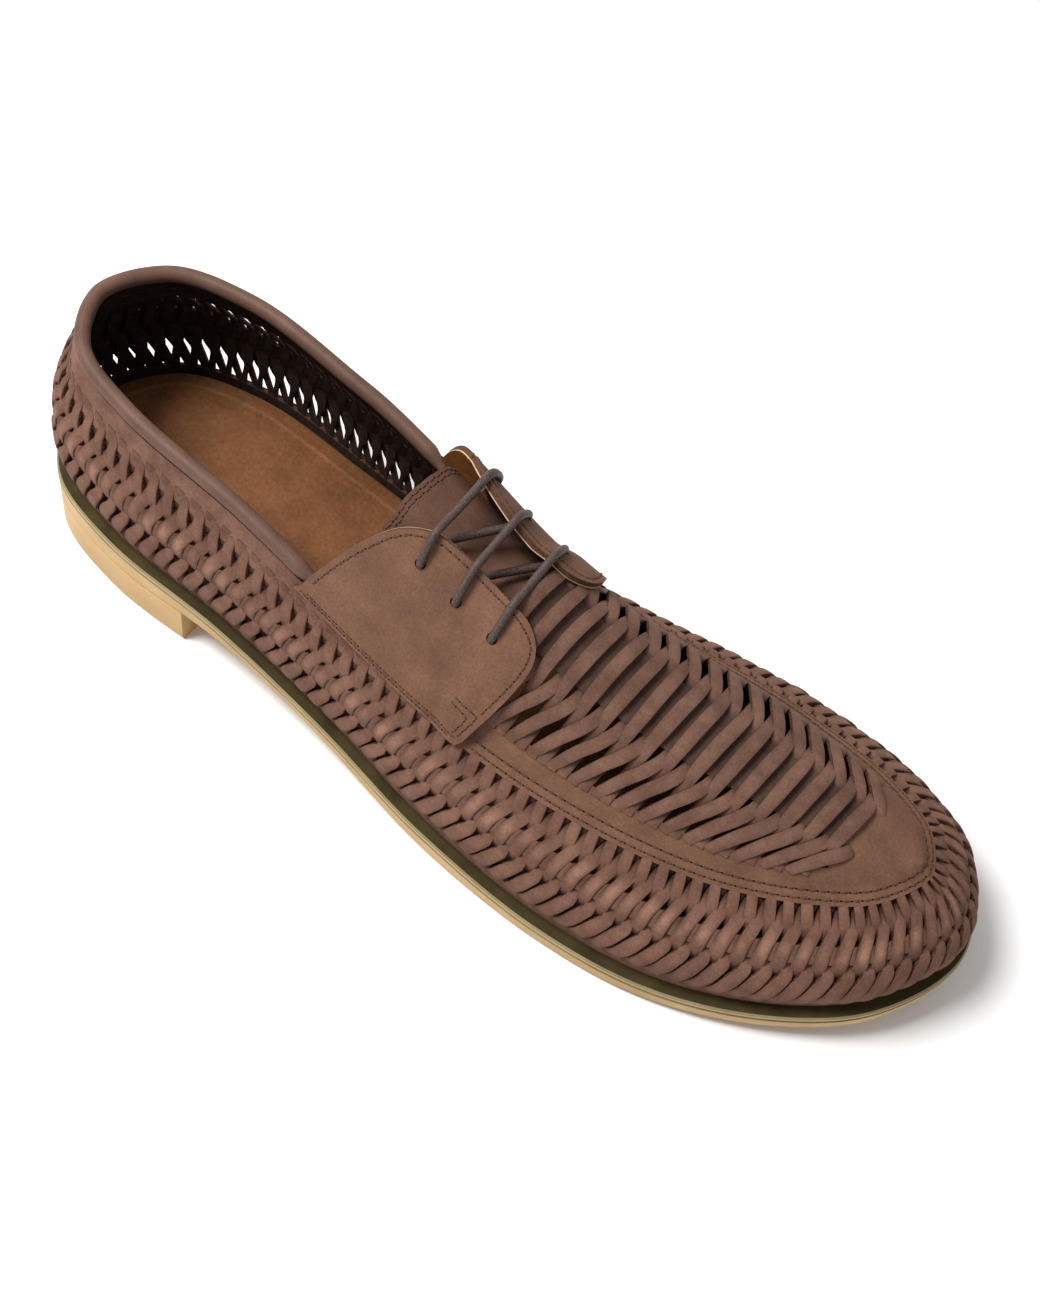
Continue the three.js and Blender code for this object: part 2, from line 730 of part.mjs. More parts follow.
// Solid of closed outline rings, bottom ring first, both ends closed across the foot
function stack(rings) {
  const skin = new Skin();
  const n = rings[0].length;
  const corner = (j, k) => skin.corner(`${j % n},${k}`, () => rings[k][j % n]);
  for (let k = 0; k < rings.length - 1; k += 1) {
    for (let j = 0; j < n; j += 1) {
      skin.face(corner(j, k), corner(j + 1, k), corner(j + 1, k + 1), corner(j, k + 1));
    }
  }
  const top = rings.length - 1;
  const half = n / 2;
  for (let j = 0; j < half; j += 1) {
    const strip = [j, j + 1, n - j - 1, n - j].map((m) => m % n);
    const corners = [...new Set(strip)];
    skin.face(...corners.map((m) => corner(m, top)));
    skin.face(...corners.toReversed().map((m) => corner(m, 0)));
  }
  return skin;
}

// Level ring of the outline, moved outward, at a height given from the foot of the side wall or the floor
function outlineRing(outward, height) {
  return Array.from({ length: SOLE_POINTS }, (_, j) => {
    const t = j / SOLE_POINTS;
    const p = outlinePoint(t);
    const z = height(footHeight(p.x));
    p.addScaledVector(outlineNormal(t), outward);
    p.z = z;
    return p;
  });
}

// Bar across the whole width under a line of the underside
function undersideCutter(rows) {
  const below = -10;
  const line = column(rows, 'z');
  const from = rows[0].x;
  const to = rows.at(-1).x;
  const steps = 14;
  const shape = new THREE.Shape();
  shape.moveTo(from, below);
  shape.lineTo(to, below);
  for (let i = steps; i >= 0; i -= 1) {
    const x = THREE.MathUtils.lerp(from, to, i / steps);
    shape.lineTo(x, line(x));
  }
  const width = 160;
  const geometry = new THREE.ExtrudeGeometry(shape, { depth: width, bevelEnabled: false });
  geometry.rotateX(Math.PI / 2);
  geometry.translate(0, width / 2, 0);
  return solidOf(weld(geometry));
}

function weld(geometry) {
  const skin = new Skin();
  const position = geometry.attributes.position;
  const plain = Array.from({ length: position.count }, (_, i) => i);
  const index = geometry.index ? Array.from(geometry.index.array) : plain;
  for (let i = 0; i < index.length; i += 3) {
    const ids = index.slice(i, i + 3).map((k) => {
      const p = new THREE.Vector3().fromBufferAttribute(position, k);
      return skin.corner(p.toArray().map((c) => c.toFixed(4)).join(), () => p);
    });
    skin.face(...ids);
  }
  return skin.geometry();
}

function buildOutsole() {
  const { top, bottom, depth } = SOLE_GROOVE;
  const rings = [
    outlineRing(LEDGE - 1.4, () => 0),
    outlineRing(LEDGE, () => 1.4),
    outlineRing(LEDGE, (z) => z - bottom),
    outlineRing(LEDGE - depth, (z) => z - bottom + 0.25),
    outlineRing(LEDGE - depth, (z) => z - top - 0.25),
    outlineRing(LEDGE, (z) => z - top),
    outlineRing(LEDGE, (z) => z - 0.4),
    outlineRing(LEDGE - 0.4, (z) => z),
    outlineRing(-2, (z) => z),
  ];
  const block = solidOf(stack(rings).geometry());
  return block.subtract(undersideCutter(ARCH)).subtract(undersideCutter(TOE_SPRING));
}

function buildInsole() {
  const rings = [
    outlineRing(-INSOLE_INSET, (z) => z + SEAT),
    outlineRing(-INSOLE_INSET, (z) => z + SEAT + INSOLE_THICKNESS - 0.6),
    outlineRing(-INSOLE_INSET - 0.6, (z) => z + SEAT + INSOLE_THICKNESS),
  ];
  return stack(rings);
}

function holeCutter(x, s) {
  const geometry = new THREE.CylinderGeometry(HOLE_RADIUS, HOLE_RADIUS, 14, 10);
  const up = new THREE.Vector3(0, 1, 0);
  geometry.applyQuaternion(new THREE.Quaternion().setFromUnitVectors(up, crownNormal(x, s)));
  const at = crownPoint(x, s);
  geometry.translate(at.x, at.y, at.z);
  return solidOf(weld(geometry));
}

// Main body of a cut solid, without the crumbs of the cut
function mainBody(solid) {
  return solid.decompose().sort((a, b) => b.volume() - a.volume())[0];
}

const laceRoom = solidOf(buildLace(LACE_RADIUS + LACE_CLEARANCE).geometry());

function punchedFacing(sign) {
  let solid = solidOf(buildFacing(sign).geometry());
  for (const hole of HOLES) {
    solid = solid.subtract(holeCutter(hole.x, sign * holePlace(hole, sign)));
  }
  return mainBody(solid.subtract(laceRoom));
}

const upperSolid = mainBody(solidOf(buildSideRing().geometry()).add(solidOf(buildVamp().geometry())));
const tongueSolid = mainBody(solidOf(buildTongue().geometry()).subtract(laceRoom));
const outsoleSolid = buildOutsole();

const shoe = new THREE.Group();
shoe.name = 'woven_shoe';

function addPart(name, geometry, color, roughness) {
  geometry.computeVertexNormals();
  const material = new THREE.MeshStandardMaterial({ color, roughness, metalness: 0 });
  const mesh = new THREE.Mesh(geometry, material);
  mesh.name = name;
  shoe.add(mesh);
  return mesh;
}

const sole = addPart('outsole', geometryOf(outsoleSolid), 0xc2a06c, 0.7);
addPart('insole', buildInsole().geometry(), 0x8a5f3c, 0.75);
addPart('upper', geometryOf(upperSolid), 0x7f5e4b, 0.85);
addPart('facing_lateral', geometryOf(punchedFacing(-1)), 0x815f4c, 0.85);
addPart('facing_medial', geometryOf(punchedFacing(1)), 0x815f4c, 0.85);
addPart('tongue', geometryOf(tongueSolid), 0x6d5246, 0.85);
addPart('collar', buildCollar().geometry(), 0x7a5c50, 0.8);
addPart('lace', buildLace(LACE_RADIUS).geometry(), 0x63564f, 0.6);

const box = new THREE.Box3().setFromObject(sole);
const middle = box.getCenter(new THREE.Vector3());
shoe.position.set(-middle.x, -middle.y, 0);

export default shoe;
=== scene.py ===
"""Looks of the right-foot woven lace-up shoe: plaited nubuck, laced facings, tan insole, thin tan sole."""
import math

import bmesh
import bpy
import numpy as np
from mathutils import Matrix, Vector


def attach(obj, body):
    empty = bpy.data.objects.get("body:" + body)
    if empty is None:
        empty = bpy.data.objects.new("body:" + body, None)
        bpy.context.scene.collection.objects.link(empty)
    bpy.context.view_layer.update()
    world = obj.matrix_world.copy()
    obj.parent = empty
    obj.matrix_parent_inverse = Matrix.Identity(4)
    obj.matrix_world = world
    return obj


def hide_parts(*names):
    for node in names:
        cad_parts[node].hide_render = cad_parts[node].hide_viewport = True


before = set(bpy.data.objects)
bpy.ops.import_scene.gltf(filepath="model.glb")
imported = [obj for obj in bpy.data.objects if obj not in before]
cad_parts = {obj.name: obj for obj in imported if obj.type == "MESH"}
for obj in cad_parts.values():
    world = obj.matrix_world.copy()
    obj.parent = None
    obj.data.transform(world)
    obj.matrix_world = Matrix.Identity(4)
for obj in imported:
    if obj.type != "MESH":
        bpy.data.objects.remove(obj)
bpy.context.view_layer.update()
rng = np.random.default_rng(11)

# Sides of the shoe, the way up, steps over which a slope is taken, and guards of a division
OUTER = -1
INNER = 1
UP = np.array([0, 0, 1.0])
OUTLINE_STEP = 0.0015
SIDE_STEP = {"t": 0.002, "v": 0.02}
CROWN_STEP = {"x": 0.5, "s": 0.015}
TONGUE_STEP = {"x": 0.5, "s": 0.01}
NEAR_ZERO = 1e-9
TINY = 1e-3

# Driving sizes, in millimetres of the last: heel back at x = 0, outer side at -y, floor at z = 0
MM = 0.001
WALL = 1.8
SEAT = 0.3
LEDGE = 4.5
SOLE_POINTS = 64

OUTLINE = {
    "x": [12, 38, 80, 120, 160, 200, 232, 262, 282],
    "outer": [23, 32.5, 35, 39.5, 46.5, 49.5, 46, 34, 18],
    "inner": [24, 33, 32.5, 32, 36.5, 44.5, 46, 40, 28],
}
HEEL_POINT = (0, 0)
TOE_POINT = (292, 6)
RING_STEPS = 120
SIDE_LEAN_POWER = 1.6
SIDE = {
    "x": [0, 40, 80, 120, 160, 200, 232, 262, 292],
    "foot": [22.5, 21.5, 18.5, 13, 8.2, 6.5, 7.2, 10, 15],
    "rise": [46, 43.7, 40.6, 36.5, 34, 32.6, 30.5, 28, 24.5],
    "outer_inset": [6, 6, 5.6, 6, 9.6, 14.6, 17.4, 18, 17],
    "inner_inset": [6, 6, 6, 8.5, 14.5, 19, 19.4, 18.4, 17],
    "swell": [3.2, 2.6, 2.4, 2.4, 2.7, 3, 3.2, 3.4, 3.6],
}
CROWN = {
    "x": [90, 110, 130, 150, 172, 200, 230, 252, 276],
    "z": [110, 102, 92.5, 82, 71.5, 62, 55, 50, 42],
    "power": [1.85, 1.85, 1.85, 1.85, 1.9, 2, 2.1, 2.2, 2.2],
}
UNDERSIDE = {
    "x": [66, 84, 104, 124, 144, 160, 174, 212, 236, 262, 284, 304],
    "z": [12.4, 12.1, 9.6, 6.3, 3.1, 1, 0, 0, 0.9, 3.6, 7.2, 11],
}
BREAST = 66

# Weave: thickness of a strip, and how far it strays from its course, width and height
STRIP = 1.5
WANDER = 0.02
WIDTH_RANGE = (0.96, 1.04)
SIDE_LIFT_RANGE = (0.88, 1.12)
VAMP_LIFT_RANGE = (0.92, 1.08)
SIDE_WAVES = 6
VAMP_WAVES = 7
# Heights between which a strip goes from painted shade to plain, then from plain to a painted highlight,
# partly worn, on its proudest parts
SIDE_SHADE_AND_HIGHLIGHT = {"sunk": (-1, 0.8), "proud": (1.3, 2.1)}
VAMP_SHADE_AND_HIGHLIGHT = {"sunk": (-1, 0.5), "proud": (1, 2)}
# Strength of the painted highlight on the vamp's proud strips; below zero, so they are a touch darker
VAMP_SHINE = -0.06

# Side weave: where its borders end along the shoe, and how its two sets of strips run between them
SIDE_PITCHES = 124
SIDE_STEPS = SIDE_PITCHES * 8
SIDE_REACH = (-0.12, 1.12)
SIDE_STRIP_STEPS = 40
BORDER_SHEET = {"columns": 7, "half": 0.75, "low_lap": 0.015, "high_lap": 0.01}
SIDE_BORDERS = {
    "x": [0, 60, 100, 116, 136, 165, 292],
    "low": [0.06, 0.05, 0.05, 0.06, 0.09, 0.13, 0.13],
    "high": [0.80, 0.80, 0.80, 0.82, 0.90, 0.97, 0.97],
}
DIVING_STRIP = {
    "x": [-0.12, 0, 0.10, 0.20, 0.28, 0.36, 0.44, 0.52, 0.62, 0.70, 0.79, 0.86, 0.94, 1, 1.12],
    "along": [-0.80, -0.72, -0.42, -0.13, 0.09, 0.34, 0.60, 0.58, 0.44, 0.32, 0.20, 0.13, 0.06, 0, -0.05],
    "lift": [-0.3, 0.1, 1.0, 1.6, 1.9, 1.9, 1.3, 0, -0.9, -0.6, 0.5, 1.1, 1.1, 0.4, -0.2],
    "width": [1.1, 1.2, 1.4, 1.55, 1.6, 1.5, 1.3, 1.1, 1.0, 1.1, 1.3, 1.35, 1.3, 1.2, 1.1],
}
RISING_STRIP = {
    "x": [-0.12, 0, 0.10, 0.20, 0.30, 0.387, 0.46, 0.54, 0.638, 0.72, 0.80, 0.86, 0.93, 1, 1.12],
    "along": [0.06, 0.05, 0.05, -0.02, -0.12, -0.10, 0, 0.10, 0.22, 0.42, 0.65, 0.86, 1.12, 1.42, 1.6],
    "lift": [-0.2, 0, -0.3, -0.9, -1.2, -0.6, 0.5, 1.4, 1.8, 1.6, 1.0, 0.1, -0.6, -0.2, 0.1],
    "width": [1.0, 1.0, 1.0, 1.0, 1.2, 1.4, 1.5, 1.5, 1.45, 1.45, 1.5, 1.6, 1.7, 1.6, 1.4],
}
# Each set of side strips: name of its piece, its course, how strong a painted highlight, partly worn, its
# proudest stretches get
SIDE_SETS = (("side_diving_strips", DIVING_STRIP, 0.05), ("side_rising_strips", RISING_STRIP, 0.42))
SIDE_BAND = {"low": 0.51, "high": 0.73, "crest": 0.71, "lift": 0.8, "wave": 0.7, "thickness": 1.3}
# The inner quarter behind its facing is woven with finer, flatter strips that leave open diamonds
OPEN_QUARTER = {
    "heel": 34, "full": 125, "none": 150, "flat": 0.6, "thin": 0.35,
    "low": 0.45, "low_fade": (0.20, 0.32), "high": 0.62, "high_fade": (0.74, 0.82),
}

# Vamp weave: places across it, then how its two sets of strips run from the outer border to the inner one
VAMP_BACK = 160
VAMP_FIRST = 152.9
VAMP_PITCH = 6.3
VAMP_PITCHES = 16
VAMP_REACH = (-0.01, 1.01)
VAMP_STRIP_STEPS = 84
BAND_LOW = -0.41
BAND_HIGH = 0.16
VAMP_ZONES = (0.30, 0.64)
VAMP_BAND = {"start": 1, "overrun": 0.4, "rows": 90, "columns": 31, "top": 0.55, "bottom": -0.7}
CROSSING_STRIP = {
    "x": [0, 0.10, 0.18, 0.26, 0.32, 0.47, 0.62, 0.68, 0.76, 0.88, 1],
    "along": [0, 0.65, 1.22, 1.58, 1.68, 1.75, 1.80, 1.72, 1.40, 0.85, 0.5],
    "lift": [0.3, 1.25, 1.1, 0.3, -0.9, -1.2, -0.9, 0.3, 1.1, 1.25, 0.3],
    "width": [1.0, 1.15, 1.2, 1.15, 1.0, 1.0, 1.0, 1.15, 1.2, 1.15, 1.0],
}
SPANNING_STRIP = {
    "x": [0, 0.10, 0.20, 0.30, 0.38, 0.47, 0.56, 0.64, 0.76, 0.88, 1],
    "along": [0.5, 0.72, 0.82, 0.90, 0.98, 1.07, 1.16, 1.22, 1.2, 1.1, 1.0],
    "lift": [0.3, -0.7, 0.1, 1.3, 1.8, 1.9, 1.8, 1.3, 0.1, -0.7, 0.3],
    "width": [1.0, 1.0, 1.05, 1.18, 1.28, 1.3, 1.28, 1.18, 1.05, 1.0, 1.0],
}

# Vamp border: rows of its lap over the side as place and rise, its ridge, its insets, and the plain toe
VAMP_BORDER = 4.1
VAMP_LAP = ((0.945, 1.7), (0.985, 1.6))
RIDGE = {"lean": 0.8, "rise": 1.5}
BORDER_INSETS = (0.8, 1.7, 2.6, 3.4, VAMP_BORDER + 0.3)
BORDER_RISE = 0.9
BORDER_THICKNESS = 1.6
BORDER_STEPS = 360
TOE = {"overrun": 0.2, "rise": 0.5, "rows": 13, "columns": 61, "level_row": 7}

# Throat, facings, tongue, lace and collar
THROAT = {
    "x": [125, 129, 133, 139, 146, 160],
    "outer": [0.365, 0.362, 0.348, 0.314, 0.294, 0.285],
    "inner": [0.47, 0.345, 0.27, 0.205, 0.165, 0.15],
}
FACING_ENDS = {
    OUTER: {"back": 101.6, "slope": 40, "corner": 5},
    INNER: {"back": 104.5, "slope": 33, "corner": 0.8},
}
FACING_FRONT = 160.2
FACING_FRONT_SWELL = 8
FACING_FRONT_WAVE = 0.68
FACING_LOW = 1.05
FACING_THICKNESS = 1.9
FACING_FRONT_CORNER = 8
FACING_CORNER_START = 0.72
FACING_GRID = {"rows": 61, "columns": 45, "crowding": 1.25}
FACING_BEVEL = {"width": 0.45, "segments": 2, "angle": 50}
LAP_RISE = 1.7
LAP_RAMP = (VAMP_BACK - 9, VAMP_BACK - 1)
# Station past which a facing's back is dark flesh: partly the lining's end, partly painted shade under the
# facing
FLESH_SHADE_FROM = 125
LINING_LAYER = 0.82
HOLES = (
    {"x": 132.6, OUTER: 0.528, INNER: 0.49},
    {"x": 144.5, OUTER: 0.524, INNER: 0.4},
    {"x": 156.4, OUTER: 0.512, INNER: 0.365},
)
HOLE_RADIUS = 1.5
HOLE_DEPTH = 12
HOLE_SIDES = 28
TONGUE_EDGE = {
    "x": [-0.62, -0.5, -0.25, 0, 0.5, 0.62],
    "back": [118.1, 119.6, 120.6, 121.7, 121.9, 121],
}
TONGUE_DROP = {
    "x": [-0.62, -0.38, -0.19, 0, 0.19, 0.38, 0.62],
    "drop": [0, 3.8, 7.7, 9, 7.7, 3.8, 0],
}
TONGUE_FLAT = {"full": 144, "none": 166}
TONGUE_FRONT = 170
TONGUE_HALF = 0.62
TONGUE_DEPTH = 3.5
TONGUE_THICKNESS = 2.0
TONGUE_GRID = {"rows": 50, "columns": 41}
LACE_RADIUS = 1.12
COLLAR_ENDS = {OUTER: 106.5, INNER: 109.5}
COLLAR_TUCK = {"length": 6, "dip": 0.8, "inset": 0.5, "taper": 0.4}
COLLAR_HALF_WIDTH = 2.3
COLLAR_HALF_HEIGHT = 2.4
COLLAR_STEPS = 220
COLLAR_SIDES = 20
INSOLE_INSET = WALL + 0.6
INSOLE_THICKNESS = 3


# Shape of the last
def column(table, name):
    """Monotone cubic through one column of a table, as a function of its x column."""
    x = np.array(table["x"], float)
    y = np.array(table[name], float)
    slope = np.diff(y) / np.diff(x)
    both = slope[:-1] * slope[1:]
    total = np.where(both > 0, slope[:-1] + slope[1:], 1.0)
    tangent = np.concatenate([slope[:1], np.where(both > 0, 2 * both / total, 0.0), slope[-1:]])

    def value(at):
        at = np.clip(np.asarray(at, float), x[0], x[-1])
        i = np.clip(np.searchsorted(x, at, side="right") - 1, 0, len(x) - 2)
        h = x[i + 1] - x[i]
        f = (at - x[i]) / h
        g = 1 - f
        ends = y[i] * g * g * (1 + 2 * f) + y[i + 1] * f * f * (3 - 2 * f)
        return ends + h * (tangent[i] * f * g * g - tangent[i + 1] * f * f * g)

    return value


foot_height = column(SIDE, "foot")
seam_rise = column(SIDE, "rise")
outer_inset = column(SIDE, "outer_inset")
inner_inset = column(SIDE, "inner_inset")
side_swell = column(SIDE, "swell")
crown_height = column(CROWN, "z")
crown_power = column(CROWN, "power")
underside = column(UNDERSIDE, "z")
border_low = column(SIDE_BORDERS, "low")
border_high = column(SIDE_BORDERS, "high")
throat_edge = {OUTER: column(THROAT, "outer"), INNER: column(THROAT, "inner")}
tongue_back = column(TONGUE_EDGE, "back")
tongue_drop = column(TONGUE_DROP, "drop")


def smoothstep(x, low, high):
    """Soft step from 0 at the low mark to 1 at the high one."""
    f = np.clip((np.asarray(x, float) - low) / (high - low), 0, 1)
    return f * f * (3 - 2 * f)


def unit(v):
    return v / np.maximum(np.linalg.norm(v, axis=-1, keepdims=True), NEAR_ZERO)


def distances(line):
    """How far along a line each of its points lies."""
    return np.concatenate([[0], np.cumsum(np.linalg.norm(np.diff(line, axis=0), axis=1))])


def spline_span(p0, p1, p2, p3, steps):
    """Centripetal spline from p1 up to p2, which is left to the next span."""
    d0, d1, d2 = (max(math.sqrt(math.dist(a, b)), TINY) for a, b in ((p0, p1), (p1, p2), (p2, p3)))
    t1 = ((p1 - p0) / d0 - (p2 - p0) / (d0 + d1) + (p2 - p1) / d1) * d1
    t2 = ((p2 - p1) / d1 - (p3 - p1) / (d1 + d2) + (p3 - p2) / d2) * d1
    f = np.arange(steps)[:, None] / steps
    return p1 + t1 * f + (3 * (p2 - p1) - 2 * t1 - t2) * f**2 + (2 * (p1 - p2) + t1 + t2) * f**3


def closed_spline(points, steps):
    p = np.array(points, float)
    n = len(p)
    spans = [spline_span(p[i - 1], p[i], p[(i + 1) % n], p[(i + 2) % n], steps) for i in range(n)]
    return np.vstack([*spans, spans[0][:1]])


def open_spline(points, steps):
    p = np.array(points, float)
    p = np.vstack([2 * p[0] - p[1], p, 2 * p[-1] - p[-2]])
    spans = [spline_span(*p[i - 1:i + 3], steps) for i in range(1, len(p) - 2)]
    return np.vstack([*spans, p[-2:-1]])


outer_row = [(x, -w) for x, w in zip(OUTLINE["x"], OUTLINE["outer"])]
inner_row = [(x, w) for x, w in zip(OUTLINE["x"], OUTLINE["inner"])]
RING = closed_spline([HEEL_POINT, *outer_row, TOE_POINT, *inner_row[::-1]], RING_STEPS)
RING_LENGTH = distances(RING)


def outline(t):
    """Ground outline of the upper: t runs heel, outer side, toe, inner side."""
    d = np.mod(t, 1.0) * RING_LENGTH[-1]
    return np.stack([np.interp(d, RING_LENGTH, RING[:, k]) for k in (0, 1)], -1)


def outline_normal(t):
    along = unit(outline(np.asarray(t) + OUTLINE_STEP) - outline(np.asarray(t) - OUTLINE_STEP))
    return np.stack([along[..., 1], -along[..., 0]], -1)


def side_point(t, v):
    """A point of the side: t as in the outline, v from 0 at the sole to 1 at the seam."""
    t, v = np.broadcast_arrays(np.asarray(t, float), np.asarray(v, float))
    p = outline(t)
    x = p[..., 0]
    lean = np.where(p[..., 1] * TOE_POINT[0] < x * TOE_POINT[1], outer_inset(x), inner_inset(x))
    inset = lean * np.maximum(v, 0) ** SIDE_LEAN_POWER - side_swell(x) * np.sin(np.pi * v)
    p = p - outline_normal(t) * inset[..., None]
    return np.concatenate([p, (foot_height(x) + SEAT + seam_rise(x) * v)[..., None]], -1)


def side_normal(t, v):
    t, v = np.broadcast_arrays(np.asarray(t, float), np.asarray(v, float))
    low = np.maximum(v - SIDE_STEP["v"], 0)
    along = side_point(t + SIDE_STEP["t"], v) - side_point(t - SIDE_STEP["t"], v)
    return unit(np.cross(along, side_point(t, low + 2 * SIDE_STEP["v"]) - side_point(t, low)))


SEAM_T = np.linspace(0.01, 0.487, 900)
SEAM_X = {sign: side_point(-sign * SEAM_T, 1.0)[:, 0] for sign in (OUTER, INNER)}


def seam_t(x, sign):
    """Ring position where the seam of one side passes station x."""
    return -sign * np.interp(x, SEAM_X[sign], SEAM_T)


def crown_point(x, s):
    """Instep and vamp: s is -1 at the outer seam and 1 at the inner one, and beyond runs down the side."""
    x, s = np.broadcast_arrays(np.asarray(x, float), np.asarray(s, float))
    outer = seam_t(x, OUTER)
    inner = seam_t(x, INNER)
    low = side_point(outer, 1.0)
    high = side_point(inner, 1.0)
    inside = np.clip(s, -1, 1)
    arch = crown_height(x) - (low[..., 2] + high[..., 2]) / 2
    p = low + (high - low) * ((inside + 1) / 2)[..., None]
    p[..., 2] += arch * (1 - np.abs(inside) ** crown_power(x))
    beyond = side_point(np.where(s < 0, outer, inner), 2 - np.maximum(np.abs(s), 1))
    return np.where((np.abs(s) > 1)[..., None], beyond, p)


def crown_normal(x, s):
    x, s = np.broadcast_arrays(np.asarray(x, float), np.asarray(s, float))
    along = crown_point(x + CROWN_STEP["x"], s) - crown_point(x - CROWN_STEP["x"], s)
    across = crown_point(x, s + CROWN_STEP["s"]) - crown_point(x, s - CROWN_STEP["s"])
    return unit(np.cross(along, across))


def crown_offset(x, s, rise):
    return crown_point(x, s) + crown_normal(x, s) * np.asarray(rise, float)[..., None]


def half_width(x):
    inner = side_point(seam_t(x, INNER), 1.0)
    outer = side_point(seam_t(x, OUTER), 1.0)
    return (inner[..., 1] - outer[..., 1]) / 2


sole_t = np.arange(SOLE_POINTS) / SOLE_POINTS
sole_ring = outline(sole_t) + outline_normal(sole_t) * LEDGE
SHIFT = np.array([*(-(sole_ring.min(0) + sole_ring.max(0)) / 2), 0.0])

# Meshes: numbers of a leather piece's materials, the neutral level of painted shade and highlight on plain
# leather, angles past which an edge is sharp
FACE = 0
RAW = 1
BACK = 2
PLAIN_SHADE_AND_HIGHLIGHT = 0.5
SHARP_EDGE = 35
ROUND_EDGE = 60
BED_EDGE = 50


class Skin:
    """Corners and faces of one piece; each face carries the number of its material."""

    def __init__(self):
        self.points = []
        self.faces = []
        self.mats = []
        self.shade_and_worn_highlight = []
        self.count = 0

    def add(self, points, faces, mat=FACE, shade_and_worn_highlight=PLAIN_SHADE_AND_HIGHLIGHT):
        points = np.asarray(points, float).reshape(-1, 3)
        self.points.append(points)
        self.shade_and_worn_highlight.append(shade_and_worn_highlight * np.ones(len(points)))
        for k, face in enumerate(faces):
            self.faces.append([i + self.count for i in face])
            self.mats.append(mat if np.isscalar(mat) else mat[k])
        self.count += len(points)

    def piece(self, name, materials, node=None, sharp=SHARP_EDGE):
        """Makes the piece's object, smooth but for edges sharper than an angle."""
        mesh = bpy.data.meshes.new(name)
        mesh.from_pydata(((np.vstack(self.points) + SHIFT) * MM).tolist(), [], self.faces)
        for material in materials:
            mesh.materials.append(material)
        mesh.polygons.foreach_set("material_index", self.mats)
        # Per-point level for the weave materials: below neutral is painted shade, above it a painted
        # highlight, partly a worn look
        mesh.attributes.new("shade_and_worn_highlight", "FLOAT", "POINT").data.foreach_set("value", np.concatenate(self.shade_and_worn_highlight))
        bm = bmesh.new()
        bm.from_mesh(mesh)
        bmesh.ops.recalc_face_normals(bm, faces=bm.faces)
        bm.to_mesh(mesh)
        bm.free()
        mesh.polygons.foreach_set("use_smooth", [True] * len(mesh.polygons))
        mesh.set_sharp_from_angle(angle=math.radians(sharp))
        obj = bpy.data.objects.new(name, mesh)
        bpy.context.scene.collection.objects.link(obj)
        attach(obj, "root")
        if node:
            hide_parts(node)
        return obj


def grid_faces(rows, columns, loop_rows=False, loop_columns=False):
    faces = []
    for i in range(rows if loop_rows else rows - 1):
        for k in range(columns if loop_columns else columns - 1):
            a = i * columns
            b = (i + 1) % rows * columns
            d = (k + 1) % columns
            faces.append((a + k, b + k, b + d, a + d))
    return faces


def tube_faces(rows, columns):
    """Faces of a tube of rings with both ends closed."""
    ends = [tuple(range(columns)), tuple(range((rows - 1) * columns, rows * columns))]
    return grid_faces(rows, columns, False, True) + ends


# Section of a leather strip: share of the half width, share of the thickness
STRIP_SECTION = np.array([
    (-0.97, 0.10), (-1.0, 0.52), (-0.98, 0.84), (-0.90, 0.96), (-0.45, 1.03), (0, 1.05), (0.45, 1.03),
    (0.90, 0.96), (0.98, 0.84), (1.0, 0.52), (0.97, 0.10), (0.6, 0), (-0.6, 0),
])
STRIP_MATS = [RAW, RAW, FACE, FACE, FACE, FACE, FACE, FACE, RAW, RAW, BACK, BACK, BACK]
# Share of the half width that takes the painted highlight; painted shade darkens each strip towards its
# edges, partly burnished edges and partly shade between strips
WORN_HIGHLIGHT_SHARE = 0.9
EDGE_SHADE = {"depth": 0.22, "start": 0.8}


def add_strip(skin, centre, normal, width, thickness, closed=False, shade_and_worn_highlight=PLAIN_SHADE_AND_HIGHLIGHT):
    """A strip of leather along a line of centres, with raw edges and a flesh side."""
    n = len(centre)
    share, height = STRIP_SECTION.T
    if closed:
        along = np.roll(centre, -1, 0) - np.roll(centre, 1, 0)
        faces = grid_faces(n, len(share), True, True)
        mats = STRIP_MATS * n
    else:
        along = np.gradient(centre, axis=0)
        faces = tube_faces(n, len(share))
        mats = STRIP_MATS * (n - 1) + [RAW, RAW]
    across = unit(np.cross(normal, along))
    up = unit(np.cross(along, across))
    half = (np.asarray(width) / 2 * np.ones(n))[:, None, None]
    points = centre[:, None] + across[:, None] * half * share[None, :, None]
    points = points + up[:, None] * (height[None, :, None] - 0.5) * thickness
    # Tone per point: painted shade where the strip dips, a painted highlight on its proud middle, painted
    # shade towards its edges
    change = shade_and_worn_highlight * np.ones(n) - PLAIN_SHADE_AND_HIGHLIGHT
    middle = np.maximum(1 - (share / WORN_HIGHLIGHT_SHARE) ** 2, 0)
    tone = PLAIN_SHADE_AND_HIGHLIGHT + np.outer(np.maximum(change, 0), middle) + np.minimum(change, 0)[:, None]
    tone = tone - EDGE_SHADE["depth"] * smoothstep(np.abs(share), EDGE_SHADE["start"], 1)
    skin.add(points, faces, mats, tone.ravel())


